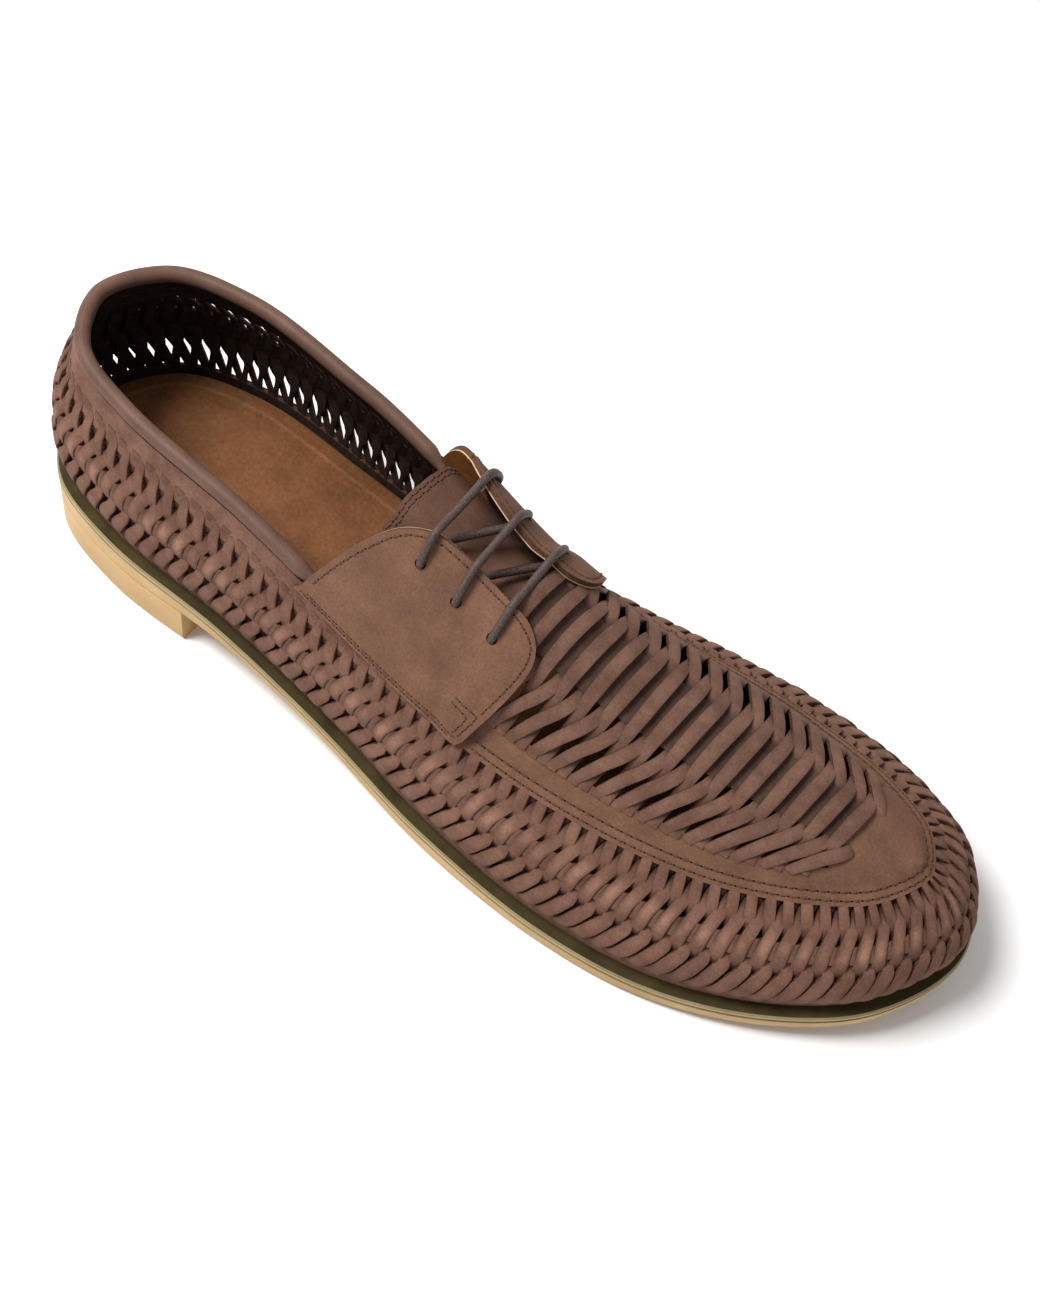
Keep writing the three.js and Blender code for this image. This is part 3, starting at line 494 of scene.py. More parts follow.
def add_sheet(skin, top, bottom, mats=(FACE, BACK, RAW, RAW), loop=False, layer=0.55):
    """A closed sheet between two grids; materials of its face, its back and the two layers of its rim."""
    rows, columns = top.shape[:2]
    count = rows * columns
    faces = grid_faces(rows, columns, loop)
    mat = [mats[0]] * len(faces) + [mats[1]] * len(faces)
    faces = faces + [tuple(i + count for i in f[::-1]) for f in faces]
    rim = []
    for i in range(rows if loop else rows - 1):
        j = (i + 1) % rows
        rim.append((i * columns, j * columns))
        rim.append((j * columns + columns - 1, i * columns + columns - 1))
    if not loop:
        for k in range(columns - 1):
            rim.append((k + 1, k))
            rim.append(((rows - 1) * columns + k, (rows - 1) * columns + k + 1))
    middle = np.array(sorted({a for pair in rim for a in pair}))
    place = {int(a): 2 * count + k for k, a in enumerate(middle)}
    flat_top = top.reshape(-1, 3)
    flat_bottom = bottom.reshape(-1, 3)
    split = flat_top[middle] * (1 - layer) + flat_bottom[middle] * layer
    for a, b in rim:
        faces.append((a, b, place[b], place[a]))
        faces.append((place[a], place[b], b + count, a + count))
        mat += mats[2:]
    skin.add(np.vstack([flat_top, flat_bottom, split]), faces, mat)


def add_tube(skin, centre, radius, sides):
    """A closed tube along a line of centres."""
    along = unit(np.gradient(centre, axis=0))
    radius = radius * np.ones(len(centre))
    side = np.array([1.0, 0.0, 0.0])
    angle = np.arange(sides) * 2 * np.pi / sides
    rings = []
    for k, direction in enumerate(along):
        side = unit(side - direction * np.dot(side, direction))
        up = np.cross(direction, side)
        circle = np.cos(angle)[:, None] * side + np.sin(angle)[:, None] * up
        rings.append(centre[k] + radius[k] * circle)
    skin.add(np.vstack(rings), tube_faces(len(centre), sides))


# Materials: node sockets of a colour mix, then the spread of each ramp and the detail of each noise
MIX_FIRST = 6
MIX_SECOND = 7
MIX_RESULT = 2
PATCH_SPREAD = 0.18
PATCH_DETAIL = 5
FLECK_SPREAD = 0.12
GRAIN_DETAIL = 3
SHADE_AND_HIGHLIGHT_SPREAD = 0.5
NOISE_ROUGHNESS = 0.6
WHITE = (1, 1, 1, 1)
# Multipliers of the painted shade in a strip's dips and of the painted highlight, partly worn, on its proud
# parts
PAINTED_SHADE_TONE = (0.42, 0.38, 0.36, 1)
WORN_HIGHLIGHT_TONE = (1.9, 1.95, 2.0, 1)
NAP = 1500
WEAVE_PATCHES = 140


def linear(*rgb):
    """Linear colour of a screen tone given from 0 to 255."""
    return tuple(((c / 255 + 0.055) / 1.055) ** 2.4 if c > 10 else c / 255 / 12.92 for c in rgb) + (1.0,)


def noise(nodes, links, place, scale, detail):
    texture = nodes.new("ShaderNodeTexNoise")
    texture.inputs["Scale"].default_value = scale
    texture.inputs["Detail"].default_value = detail
    texture.inputs["Roughness"].default_value = NOISE_ROUGHNESS
    links.new(place.outputs["Object"], texture.inputs["Vector"])
    return texture


def ramp(nodes, links, source, low, high, spread):
    tones = nodes.new("ShaderNodeValToRGB")
    tones.color_ramp.elements[0].position = 0.5 - spread
    tones.color_ramp.elements[1].position = 0.5 + spread
    tones.color_ramp.elements[0].color = low
    tones.color_ramp.elements[1].color = high
    links.new(source.outputs["Fac"], tones.inputs["Fac"])
    return tones


def multiply(nodes, links, first, second):
    mix = nodes.new("ShaderNodeMix")
    mix.data_type = "RGBA"
    mix.blend_type = "MULTIPLY"
    mix.inputs["Factor"].default_value = 1
    links.new(first, mix.inputs[MIX_FIRST])
    links.new(second, mix.inputs[MIX_SECOND])
    return mix.outputs[MIX_RESULT]


def surface(name, light, dark, mottle=90, grain=2600, bump=0.12, rough=0.8, gloss=0.1,
            depth=0.0002, fleck=0.8, paints_shade_and_highlight=False):
    """Two tones of one colour in soft patches, darker flecks, a fine grain, and by height painted shade in
    dips and a painted highlight, partly worn, on proud parts.
    """
    material = bpy.data.materials.new(name)
    material.use_nodes = True
    nodes = material.node_tree.nodes
    links = material.node_tree.links
    shader = nodes["Principled BSDF"]
    place = nodes.new("ShaderNodeTexCoord")
    coarse = noise(nodes, links, place, mottle, PATCH_DETAIL)
    patches = ramp(nodes, links, coarse, linear(*dark), linear(*light), PATCH_SPREAD)
    fine = noise(nodes, links, place, grain, GRAIN_DETAIL)
    flecks = ramp(nodes, links, fine, (fleck, fleck, fleck, 1), WHITE, FLECK_SPREAD)
    colour = multiply(nodes, links, patches.outputs["Color"], flecks.outputs["Color"])
    if paints_shade_and_highlight:
        # Painted shade and painted highlight, read from the per-point level
        height = nodes.new("ShaderNodeAttribute")
        height.attribute_name = "shade_and_worn_highlight"
        tones = ramp(nodes, links, height, PAINTED_SHADE_TONE, WORN_HIGHLIGHT_TONE, SHADE_AND_HIGHLIGHT_SPREAD)
        tones.color_ramp.elements.new(PLAIN_SHADE_AND_HIGHLIGHT).color = WHITE
        colour = multiply(nodes, links, colour, tones.outputs["Color"])
    links.new(colour, shader.inputs["Base Color"])
    relief = nodes.new("ShaderNodeBump")
    relief.inputs["Strength"].default_value = bump
    relief.inputs["Distance"].default_value = depth
    links.new(fine.outputs["Fac"], relief.inputs["Height"])
    links.new(relief.outputs["Normal"], shader.inputs["Normal"])
    shader.inputs["Roughness"].default_value = rough
    shader.inputs["Specular IOR Level"].default_value = gloss
    return material


nubuck = surface("nubuck", (128, 93, 74), (108, 77, 61), grain=NAP)
# The weave strips take the painted shade in dips and the painted highlight on proud parts
strip_face = surface("strip_nubuck", (129, 96, 81), (101, 73, 61), WEAVE_PATCHES, NAP, paints_shade_and_highlight=True)
side_face = surface("side_nubuck", (131, 96, 80), (104, 74, 61), WEAVE_PATCHES, NAP, paints_shade_and_highlight=True)
band_face = surface("band_nubuck", (122, 90, 75), (96, 69, 57), WEAVE_PATCHES, NAP)
# Band leather behind the vamp weave, darkened as painted shade
shaded_band_face = surface("band_nubuck_shaded", (96, 73, 61), (72, 54, 46), WEAVE_PATCHES, NAP)
tongue_face = surface("tongue_nubuck", (116, 84, 69), (95, 68, 56), grain=NAP)
rim_edge = surface("cut_rim", (112, 78, 63), (72, 50, 40), mottle=1600, grain=3000,
                   bump=0.5, depth=0.0004, rough=0.9)
raw_edge = surface("raw_edge", (112, 76, 60), (40, 27, 21), mottle=1400, grain=3000,
                   bump=0.6, depth=0.0005, rough=0.95)
flesh = surface("flesh_side", (58, 45, 39), (36, 27, 24), mottle=500, bump=0.4, rough=0.95)
collar_face = surface("collar_leather", (112, 82, 68), (92, 66, 55), bump=0.08, rough=0.55, gloss=0.25)
cream_edge = surface("lining_edge", (226, 192, 156), (196, 158, 120), mottle=400)
lining = surface("lining", (178, 122, 66), (150, 98, 50), mottle=200)
pigskin = surface("pigskin", (136, 88, 52), (108, 67, 37), mottle=60, grain=700,
                  bump=0.5, depth=0.0006, rough=0.7, gloss=0.25)
lace_cord = surface("waxed_cord", (104, 84, 77), (40, 32, 28), mottle=3200, grain=3200,
                    bump=0.5, depth=0.0003, rough=0.5, gloss=0.3)
thread = surface("thread", (106, 74, 58), (82, 56, 43), mottle=900, rough=0.7)
# Near-black walls of punched holes and stitch dents: painted shade inside them
hole_shade = surface("punched_hole_shade", (34, 24, 20), (22, 15, 12), rough=0.95)
sole_side = surface("sole_side", (206, 172, 120), (188, 150, 98), mottle=50, grain=900,
                    bump=0.05, rough=0.55, gloss=0.25, fleck=0.95)
sole_rim = surface("sole_rim", (150, 140, 108), (128, 118, 88), rough=0.6, fleck=0.95)
# Top of the ledge: partly a darker ledge finish, partly painted shade beneath the upper
sole_ledge_shade = surface("sole_ledge_shade", (76, 64, 38), (58, 48, 28), mottle=120, rough=0.6)


# Weave: how a strip runs, how far it strays and where it gets painted shade or a painted highlight, partly
# worn
def strip_course(table, q):
    return (column(table, name)(q) for name in ("along", "lift", "width"))


def wander(q, i, waves):
    return rng.normal(0, WANDER) + rng.normal(0, WANDER) * np.sin(q * waves + i)


# Painted shade where a strip dips under others, a painted highlight, partly worn, where it stands proud
def strip_shade_and_worn_highlight(rise, marks, shine):
    return PLAIN_SHADE_AND_HIGHLIGHT * smoothstep(rise, *marks["sunk"]) + shine * smoothstep(rise, *marks["proud"])


def side_frame(q, u):
    """Points and normals of the side weave: q runs from the lower border to the upper one, u in pitches."""
    t = np.asarray(u, float) / SIDE_PITCHES
    x = outline(t)[..., 0]
    low = border_low(x)
    v = low + (border_high(x) - low) * q
    return side_point(t, v), side_normal(t, np.clip(v, 0, 1)), t, v


def openness(t):
    """How open the weave is: on the inner quarter only, fading to the heel and to the vamp."""
    x = outline(t)[..., 0]
    share = smoothstep(x, 0, OPEN_QUARTER["heel"])
    share = share - smoothstep(x, OPEN_QUARTER["full"], OPEN_QUARTER["none"])
    return np.where(np.mod(t, 1) > 0.5, share, 0)


def build_side_strips(name, table, shine):
    """One of the two sets of strips that cross on the side."""
    q = np.linspace(*SIDE_REACH, SIDE_STRIP_STEPS)
    along, lift, width = strip_course(table, q)
    half = 0.5 / SIDE_PITCHES
    gaps = OPEN_QUARTER["low"] * (1 - smoothstep(q, *OPEN_QUARTER["low_fade"]))
    gaps = gaps + OPEN_QUARTER["high"] * smoothstep(q, *OPEN_QUARTER["high_fade"])
    skin = Skin()
    for i in range(SIDE_PITCHES):
        p, n, t, v = side_frame(q, i + along + wander(q, i, SIDE_WAVES))
        pitch = np.linalg.norm(side_point(t + half, v) - side_point(t - half, v), axis=1)
        opened = openness(t)
        rise = lift * rng.uniform(*SIDE_LIFT_RANGE) * (1 - OPEN_QUARTER["flat"] * opened)
        wide = width * rng.uniform(*WIDTH_RANGE) * (1 - opened * gaps)
        thick = STRIP * (1 - OPEN_QUARTER["thin"] * opened.mean())
        shade_and_worn_highlight = strip_shade_and_worn_highlight(rise, SIDE_SHADE_AND_HIGHLIGHT, shine)
        add_strip(skin, p + n * rise[:, None], n, pitch * 0.5 * wide, thick, shade_and_worn_highlight=shade_and_worn_highlight)
    skin.piece(name, [side_face, raw_edge, flesh], "upper")


def build_side_band():
    """Plain band that runs between the strips, in and out with them."""
    t = np.arange(SIDE_STEPS) / SIDE_STEPS
    p, n, _, _ = side_frame((SIDE_BAND["low"] + SIDE_BAND["high"]) / 2, t * SIDE_PITCHES)
    wave = SIDE_BAND["wave"] * np.cos(2 * np.pi * (t * SIDE_PITCHES - SIDE_BAND["crest"]))
    rise = (SIDE_BAND["lift"] + wave) * (1 - OPEN_QUARTER["flat"] * openness(t))
    x = outline(t)[:, 0]
    width = (SIDE_BAND["high"] - SIDE_BAND["low"]) * (border_high(x) - border_low(x)) * seam_rise(x)
    skin = Skin()
    add_strip(skin, p + n * rise[:, None], n, width, SIDE_BAND["thickness"], closed=True)
    skin.piece("side_band", [band_face, raw_edge, flesh])


def build_side_borders():
    """Plain leather from the sole to the weave, and from the weave to the seam."""
    t = (np.arange(SIDE_STEPS) / SIDE_STEPS)[:, None]
    x = outline(t)[..., 0]
    share = np.linspace(0, 1, BORDER_SHEET["columns"])
    low = (border_low(x) + BORDER_SHEET["low_lap"]) * share
    high = border_high(x) - BORDER_SHEET["high_lap"]
    high = high + (1.0 - border_high(x) + BORDER_SHEET["high_lap"]) * share
    skin = Skin()
    for v in (low, high):
        p = side_point(t, v)
        n = side_normal(t, np.clip(v, 0, 1))
        add_sheet(skin, p + n * BORDER_SHEET["half"], p - n * BORDER_SHEET["half"], loop=True)
    skin.piece("side_borders", [side_face, raw_edge, flesh])


# Vamp
def vamp_border(x):
    """Place across the vamp where its plain border begins."""
    return 1 - VAMP_BORDER / half_width(x)


def vamp_across(x, q):
    """Place across the vamp for a share q of the way from the outer border to the inner one."""
    edge = vamp_border(x)
    low, high = VAMP_ZONES
    near = -edge + (BAND_LOW + edge) * q / low
    middle = BAND_LOW + (BAND_HIGH - BAND_LOW) * (q - low) / (high - low)
    far = BAND_HIGH + (edge - BAND_HIGH) * (q - high) / (1 - high)
    return np.where(q < low, near, np.where(q < high, middle, far))


def add_vamp_strips(skin, table):
    q = np.linspace(*VAMP_REACH, VAMP_STRIP_STEPS)
    along, lift, width = strip_course(table, q)
    for i in range(VAMP_PITCHES):
        x = VAMP_FIRST + VAMP_PITCH * (i + along + wander(q, i, VAMP_WAVES))
        s = vamp_across(x, q)
        n = crown_normal(x, s)
        rise = lift * rng.uniform(*VAMP_LIFT_RANGE)
        wide = VAMP_PITCH * 0.5 * width * rng.uniform(*WIDTH_RANGE)
        centre = crown_point(x, s) + n * rise[:, None]
        add_strip(skin, centre, n, wide, STRIP, shade_and_worn_highlight=strip_shade_and_worn_highlight(rise, VAMP_SHADE_AND_HIGHLIGHT, VAMP_SHINE))


def build_vamp_weave():
    skin = Skin()
    add_vamp_strips(skin, CROSSING_STRIP)
    add_vamp_strips(skin, SPANNING_STRIP)
    skin.piece("vamp_weave", [strip_face, raw_edge, flesh])


def build_vamp_band():
    """Sunk leather behind the middle of the weave, darker than the side band as painted shade."""
    end = VAMP_FIRST + VAMP_PITCH * (VAMP_PITCHES + VAMP_BAND["overrun"])
    x = np.linspace(VAMP_BACK + VAMP_BAND["start"], end, VAMP_BAND["rows"])[:, None]
    s = BAND_LOW + (BAND_HIGH - BAND_LOW) * np.linspace(0, 1, VAMP_BAND["columns"])[None, :]
    s = np.minimum(s, vamp_border(x))
    skin = Skin()
    add_sheet(skin, crown_offset(x, s, VAMP_BAND["top"]), crown_offset(x, s, VAMP_BAND["bottom"]))
    skin.piece("vamp_band", [shaded_band_face, raw_edge, flesh])


def crown_height_at(x, y):
    low = side_point(seam_t(x, OUTER), 1.0)
    high = side_point(seam_t(x, INNER), 1.0)
    width = np.maximum(high[..., 1] - low[..., 1], TINY)
    s = np.clip((2 * y - low[..., 1] - high[..., 1]) / width, -1, 1)
    middle = (low[..., 2] + high[..., 2]) / 2
    return middle + (crown_height(x) - middle) * (1 - np.abs(s) ** crown_power(x))


def border_grid(t, inward):
    """Plain border of the vamp along the seam: lapped over the side, then inward across the crown."""
    rows = [side_point(t, v) + side_normal(t, v) * rise for v, rise in VAMP_LAP]
    ridge_normal = unit(side_normal(t, 1.0) + np.array([0, 0, RIDGE["lean"]]))
    rows.append(side_point(t, 1.0) + ridge_normal * RIDGE["rise"])
    for d in inward:
        p = side_point(t, 1.0)
        p[:, :2] -= outline_normal(t) * d
        p[:, 2] = crown_height_at(p[:, 0], p[:, 1]) + BORDER_RISE
        rows.append(p)
    return np.stack(rows, 1)


def toe_patch():
    """Plain toe in front of the weave: level with the crown, then down to the edge of the border."""
    end = VAMP_FIRST + VAMP_PITCH * (VAMP_PITCHES + TOE["overrun"])
    t = np.linspace(seam_t(end, OUTER), 1 + seam_t(end, INNER), TOE["columns"])
    edge = border_grid(t, BORDER_INSETS)[:, -1]
    back = crown_offset(end, np.linspace(-1, 1, TOE["columns"]) * vamp_border(end), TOE["rise"])
    rows = np.linspace(0, 1, TOE["rows"])[:, None, None]
    patch = back[None] * (1 - rows) + edge[None] * rows
    crown = np.maximum(crown_height_at(patch[..., 0], patch[..., 1]) + BORDER_RISE, patch[..., 2])
    level = rows[TOE["level_row"], 0, 0]
    share = np.clip((rows[:, :, 0] - level) / (1 - level), 0, 1)
    sloped = crown[TOE["level_row"]] * (1 - share) + edge[:, 2] * share
    patch[..., 2] = np.where(share > 0, sloped, crown)
    return patch


def build_vamp_border():
    t = np.linspace(seam_t(VAMP_BACK, OUTER), 1 + seam_t(VAMP_BACK, INNER), BORDER_STEPS)
    top = border_grid(t, BORDER_INSETS)
    normal = unit(np.cross(np.gradient(top, axis=0), np.gradient(top, axis=1)))
    low = top - normal * np.sign(normal[..., 2:]) * BORDER_THICKNESS
    skin = Skin()
    add_sheet(skin, top, low)
    patch = toe_patch()
    add_sheet(skin, patch, patch - UP * BORDER_THICKNESS)
    skin.piece("vamp_border", [nubuck, raw_edge, flesh])


# Facings: face, rim, lined back, cream edge of the lining, holes with painted shade on their walls, and
# dark flesh side where the lining ends, partly a bare back and partly painted shade under the facing
FACING_MATERIALS = [nubuck, rim_edge, lining, cream_edge, hole_shade, flesh]
CREAM = FACING_MATERIALS.index(cream_edge)
SHADE_FLESH = FACING_MATERIALS.index(flesh)


def facing_lift(x):
    """How far the vamp's border under it lifts the front of a facing."""
    return smoothstep(x, *LAP_RAMP) * LAP_RISE


def facing_place(sign, a, w, rise):
    """A point of a facing: a runs from its rear to its front edge, w from its lower edge to the throat."""
    a, w = np.broadcast_arrays(np.asarray(a, float), np.asarray(w, float))
    corner = np.clip((w - FACING_CORNER_START) / (1 - FACING_CORNER_START), 0, 1)
    rounding = 1 - np.sqrt(1 - corner**2)
    reach = (FACING_LOW - throat_edge[sign](THROAT["x"][0])) * w
    end = FACING_ENDS[sign]
    back = end["back"] + end["slope"] * reach + end["corner"] * rounding
    swell = FACING_FRONT_SWELL * np.sin(np.pi * FACING_FRONT_WAVE * w)
    front = FACING_FRONT + swell - FACING_FRONT_CORNER * rounding
    x = back + (front - back) * a
    s = sign * (FACING_LOW + (throat_edge[sign](x) - FACING_LOW) * w)
    return crown_offset(x, s, SEAT + facing_lift(x) + rise), crown_normal(x, s)


def punch_hole(panel, hole, sign):
    bpy.ops.mesh.primitive_cylinder_add(vertices=HOLE_SIDES, radius=HOLE_RADIUS * MM, depth=HOLE_DEPTH * MM)
    cutter = bpy.context.object
    s = sign * hole[sign]
    at = Vector((crown_point(hole["x"], s) + SHIFT) * MM)
    turn = Vector(crown_normal(hole["x"], s)).to_track_quat("Z", "Y")
    cutter.matrix_world = Matrix.Translation(at) @ turn.to_matrix().to_4x4()
    cutter.data.materials.append(hole_shade)
    cut = panel.modifiers.new("hole", "BOOLEAN")
    cut.object = cutter
    cut.operation = "DIFFERENCE"
    cut.solver = "EXACT"
    cut.material_mode = "TRANSFER"
    with bpy.context.temp_override(object=panel, active_object=panel):
        bpy.ops.object.modifier_apply(modifier=cut.name)
    bpy.data.objects.remove(cutter)


def build_facing(sign, name, node):
    a = np.linspace(0, 1, FACING_GRID["rows"])[:, None]
    w = 1 - (1 - np.linspace(0, 1, FACING_GRID["columns"])[None, :]) ** FACING_GRID["crowding"]
    top, _ = facing_place(sign, a, w, FACING_THICKNESS)
    low, _ = facing_place(sign, a, w, 0.0)
    skin = Skin()
    add_sheet(skin, top, low, mats=(FACE, BACK, RAW, CREAM), layer=LINING_LAYER)
    panel = skin.piece(name, FACING_MATERIALS, node)
    # Past this station the back shows the dark flesh side: partly a bare back, partly painted shade under
    # the facing
    for face in panel.data.polygons:
        if face.material_index == BACK and face.center.x > (FLESH_SHADE_FROM + SHIFT[0]) * MM:
            face.material_index = SHADE_FLESH
    for hole in HOLES:
        punch_hole(panel, hole, sign)
    soften = panel.modifiers.new("edge", "BEVEL")
    soften.width = FACING_BEVEL["width"] * MM
    soften.segments = FACING_BEVEL["segments"]
    soften.limit_method = "ANGLE"
    soften.angle_limit = math.radians(FACING_BEVEL["angle"])


# Tongue
def tongue_place(x, s, sunk=0.0):
    """A point of the tongue: under the lace it lies nearly flat, and it rises to slip under the vamp."""
    x, s = np.broadcast_arrays(np.asarray(x, float), np.asarray(s, float))
    p = crown_offset(x, s, -TONGUE_DEPTH - sunk)
    p[..., 2] -= tongue_drop(s) * (1 - smoothstep(x, TONGUE_FLAT["full"], TONGUE_FLAT["none"]))
    return p


def build_tongue():
    s = np.linspace(-TONGUE_HALF, TONGUE_HALF, TONGUE_GRID["columns"])[None, :]
    back = tongue_back(s)
    x = back + (TONGUE_FRONT - back) * np.linspace(0, 1, TONGUE_GRID["rows"])[:, None]
    skin = Skin()
    add_sheet(skin, tongue_place(x, s), tongue_place(x, s, TONGUE_THICKNESS))
    skin.piece("tongue_piece", [tongue_face, raw_edge, lining], "tongue")


def tongue_line(x, s):
    """A line on the tongue and the normals along it."""
    along = tongue_place(x + TONGUE_STEP["x"], s) - tongue_place(x - TONGUE_STEP["x"], s)
    across = tongue_place(x, s + TONGUE_STEP["s"]) - tongue_place(x, s - TONGUE_STEP["s"])
    return tongue_place(x, s), unit(np.cross(along, across))


# Lace: up through a hole, over the facing, straight across and down the hole opposite, then a straight
# slant underneath. Each inward step is a share of the way from the hole to the throat edge.
LACE_OVER = SEAT + FACING_THICKNESS + LACE_RADIUS
LACE_UNDER = -LACE_RADIUS - 0.7
LACE_RISE = {
    "inward": [0.5, 0, -0.05, 0.05, 0.27, 1],
    "rise": [LACE_UNDER, -0.2, 1.4, LACE_OVER - 0.7, LACE_OVER, LACE_OVER],
    "lifted": [0, 0, 1, 1, 1, 1],
}
BAR_SHARES = (1 / 3, 2 / 3)
SLANT_STEPS = 4
LACE_STEPS = 8
LACE_SIDES = 14


def lace_climb(hole, sign):
    x = hole["x"]
    s = sign * (hole[sign] + (throat_edge[sign](x) - hole[sign]) * np.array(LACE_RISE["inward"]))
    rise = np.array(LACE_RISE["rise"]) + np.array(LACE_RISE["lifted"]) * facing_lift(x)
    return crown_offset(x, s, rise)


def build_lace():
    points = []
    for i, hole in enumerate(HOLES):
        far = lace_climb(hole, INNER)
        near = lace_climb(hole, OUTER)[::-1]
        bar = [far[-1] + (near[0] - far[-1]) * k for k in BAR_SHARES]
        points += [*far, *bar, *near]
        if i + 1 < len(HOLES):
            start = near[-1]
            end = lace_climb(HOLES[i + 1], INNER)[0]
            points += [start + (end - start) * k / SLANT_STEPS for k in range(1, SLANT_STEPS)]
    skin = Skin()
    add_tube(skin, open_spline(points, LACE_STEPS), LACE_RADIUS, LACE_SIDES)
    skin.piece("lace_cord", [lace_cord], "lace", sharp=ROUND_EDGE)


# Collar
def build_collar():
    """Padded roll round the heel, thinner and lower where its ends slip under the facings."""
    t = np.linspace(seam_t(COLLAR_ENDS[INNER], INNER), seam_t(COLLAR_ENDS[OUTER], OUTER), COLLAR_STEPS)
    normal = np.concatenate([outline_normal(t), np.zeros((COLLAR_STEPS, 1))], 1)
    centre = side_point(t, 1.0) - normal * (WALL / 2)
    inner_half = np.arange(COLLAR_STEPS) < COLLAR_STEPS // 2
    end = np.where(inner_half, COLLAR_ENDS[INNER], COLLAR_ENDS[OUTER])
    tuck = smoothstep(centre[:, 0], end - COLLAR_TUCK["length"], end)[:, None]
    taper = (1 - COLLAR_TUCK["taper"] * tuck)[:, :, None]
    centre -= normal * COLLAR_TUCK["inset"] * tuck
    centre[:, 2] += SEAT + COLLAR_HALF_HEIGHT - COLLAR_TUCK["dip"] * tuck[:, 0]
    angle = np.linspace(0, 2 * np.pi, COLLAR_SIDES, endpoint=False)
    ring = centre[:, None] + normal[:, None] * (COLLAR_HALF_WIDTH * np.cos(angle))[None, :, None] * taper
    ring = ring + UP * (COLLAR_HALF_HEIGHT * np.sin(angle))[None, :, None] * taper
    skin = Skin()
    skin.add(ring, tube_faces(COLLAR_STEPS, COLLAR_SIDES))
    skin.piece("collar_roll", [collar_face], "collar", sharp=ROUND_EDGE)


# Sole and insole, as rings of the outline stacked from the bottom
def tread_level(x):
    return np.where(x < BREAST, UNDERSIDE["z"][0], underside(x))


def bed_level(x):
    return foot_height(x) + SEAT + INSOLE_THICKNESS


SOLE_MATERIALS = [sole_side, sole_rim, sole_ledge_shade]
# Each ring of the sole: out from the outline, the level it follows, height above that, material above it
SOLE_RINGS = (
    (LEDGE - 1.6, tread_level, 0, sole_side),
    (LEDGE - 0.4, tread_level, 0.35, sole_side),
    (LEDGE, tread_level, 1.2, sole_side),
    (LEDGE + 0.1, foot_height, -2.3, sole_rim),
    (LEDGE - 0.3, foot_height, -2.0, sole_rim),
    (LEDGE - 0.3, foot_height, -1.6, sole_rim),
    (LEDGE, foot_height, -1.3, sole_side),
    (LEDGE, foot_height, -0.6, sole_rim),
    (LEDGE - 0.5, foot_height, 0, sole_ledge_shade),
    (LEDGE - 1.1, foot_height, 0.02, sole_ledge_shade),
    (-2.0, foot_height, 0, sole_ledge_shade),
)
# Each ring of the heel: out from the outline, height above the floor
HEEL_RINGS = ((LEDGE - 1.4, 0.0), (LEDGE - 0.4, 0.3), (LEDGE, 1.2), (LEDGE, UNDERSIDE["z"][0] + 0.5))
# Each ring of the insole: inward from its edge, height above the bed; the pressed line is in the middle
INSOLE_RINGS = (
    (0, -2.6), (0, -0.7), (0.7, 0), (4, 0), (4.5, 0.35),
    (4.9, 0.45), (5.3, 0.3), (5.8, -0.3), (6.5, 0), (13, 0),
)
SOLE_STEPS = 360
HEEL_STEPS = 121
INSOLE_STEPS = 300


def add_stack(skin, rings, mats):
    """Stacked rings, each with the material above it, and both ends closed across the foot."""
    rings = np.array(rings)
    n = rings.shape[1]
    faces = grid_faces(len(rings), n, False, True)
    mat = [m for m in mats[:-1] for _ in range(n)]
    top = (len(rings) - 1) * n
    for j in range(n // 2):
        strip = list(dict.fromkeys(k % n for k in (j, j + 1, n - j - 1, n - j)))
        faces.append(tuple(strip[::-1]))
        faces.append(tuple(top + k for k in strip))
        mat += [mats[0], mats[-1]]
    skin.add(rings, faces, mat)


def level_ring(t, outward, level, rise):
    p = outline(t)
    z = level(p[:, 0]) + rise
    return np.concatenate([p + outline_normal(t) * outward, z[:, None]], 1)


def breast_share(ring, length):
    """Share of the outline from the heel's back to its breast, along one side."""
    third = len(ring) // 3
    return float(np.interp(BREAST, ring[:third, 0], length[:third])) / RING_LENGTH[-1]


def build_heel():
    outer = breast_share(RING, RING_LENGTH)
    inner = breast_share(RING[::-1], RING_LENGTH[-1] - RING_LENGTH[::-1])
    t = np.linspace(-inner, outer, HEEL_STEPS)
    rings = []
    for outward, z in HEEL_RINGS:
        p = outline(t) + outline_normal(t) * outward
        rings.append(np.concatenate([p, np.full((HEEL_STEPS, 1), z)], 1))
    n = HEEL_STEPS
    top = len(HEEL_RINGS) - 1
    faces = grid_faces(len(HEEL_RINGS), n) + [tuple(range(n))[::-1], tuple(range(top * n, (top + 1) * n))]
    faces += [((k + 1) * n - 1, k * n, (k + 1) * n, (k + 2) * n - 1) for k in range(top)]
    skin = Skin()
    skin.add(np.array(rings), faces)
    skin.piece("heel_block", [sole_side])


def build_sole():
    t = np.arange(SOLE_STEPS) / SOLE_STEPS
    rings = [level_ring(t, outward, level, rise) for outward, level, rise, _ in SOLE_RINGS]
    mats = [SOLE_MATERIALS.index(material) for _, _, _, material in SOLE_RINGS]
    skin = Skin()
    add_stack(skin, rings, mats)
    skin.piece("sole_unit", SOLE_MATERIALS, "outsole")


def build_insole():
    t = np.arange(INSOLE_STEPS) / INSOLE_STEPS
    rings = [level_ring(t, -INSOLE_INSET - inset, bed_level, rise) for inset, rise in INSOLE_RINGS]
    skin = Skin()
    add_stack(skin, rings, [FACE] * len(rings))
    skin.piece("insole_bed", [pigskin], "insole", sharp=BED_EDGE)


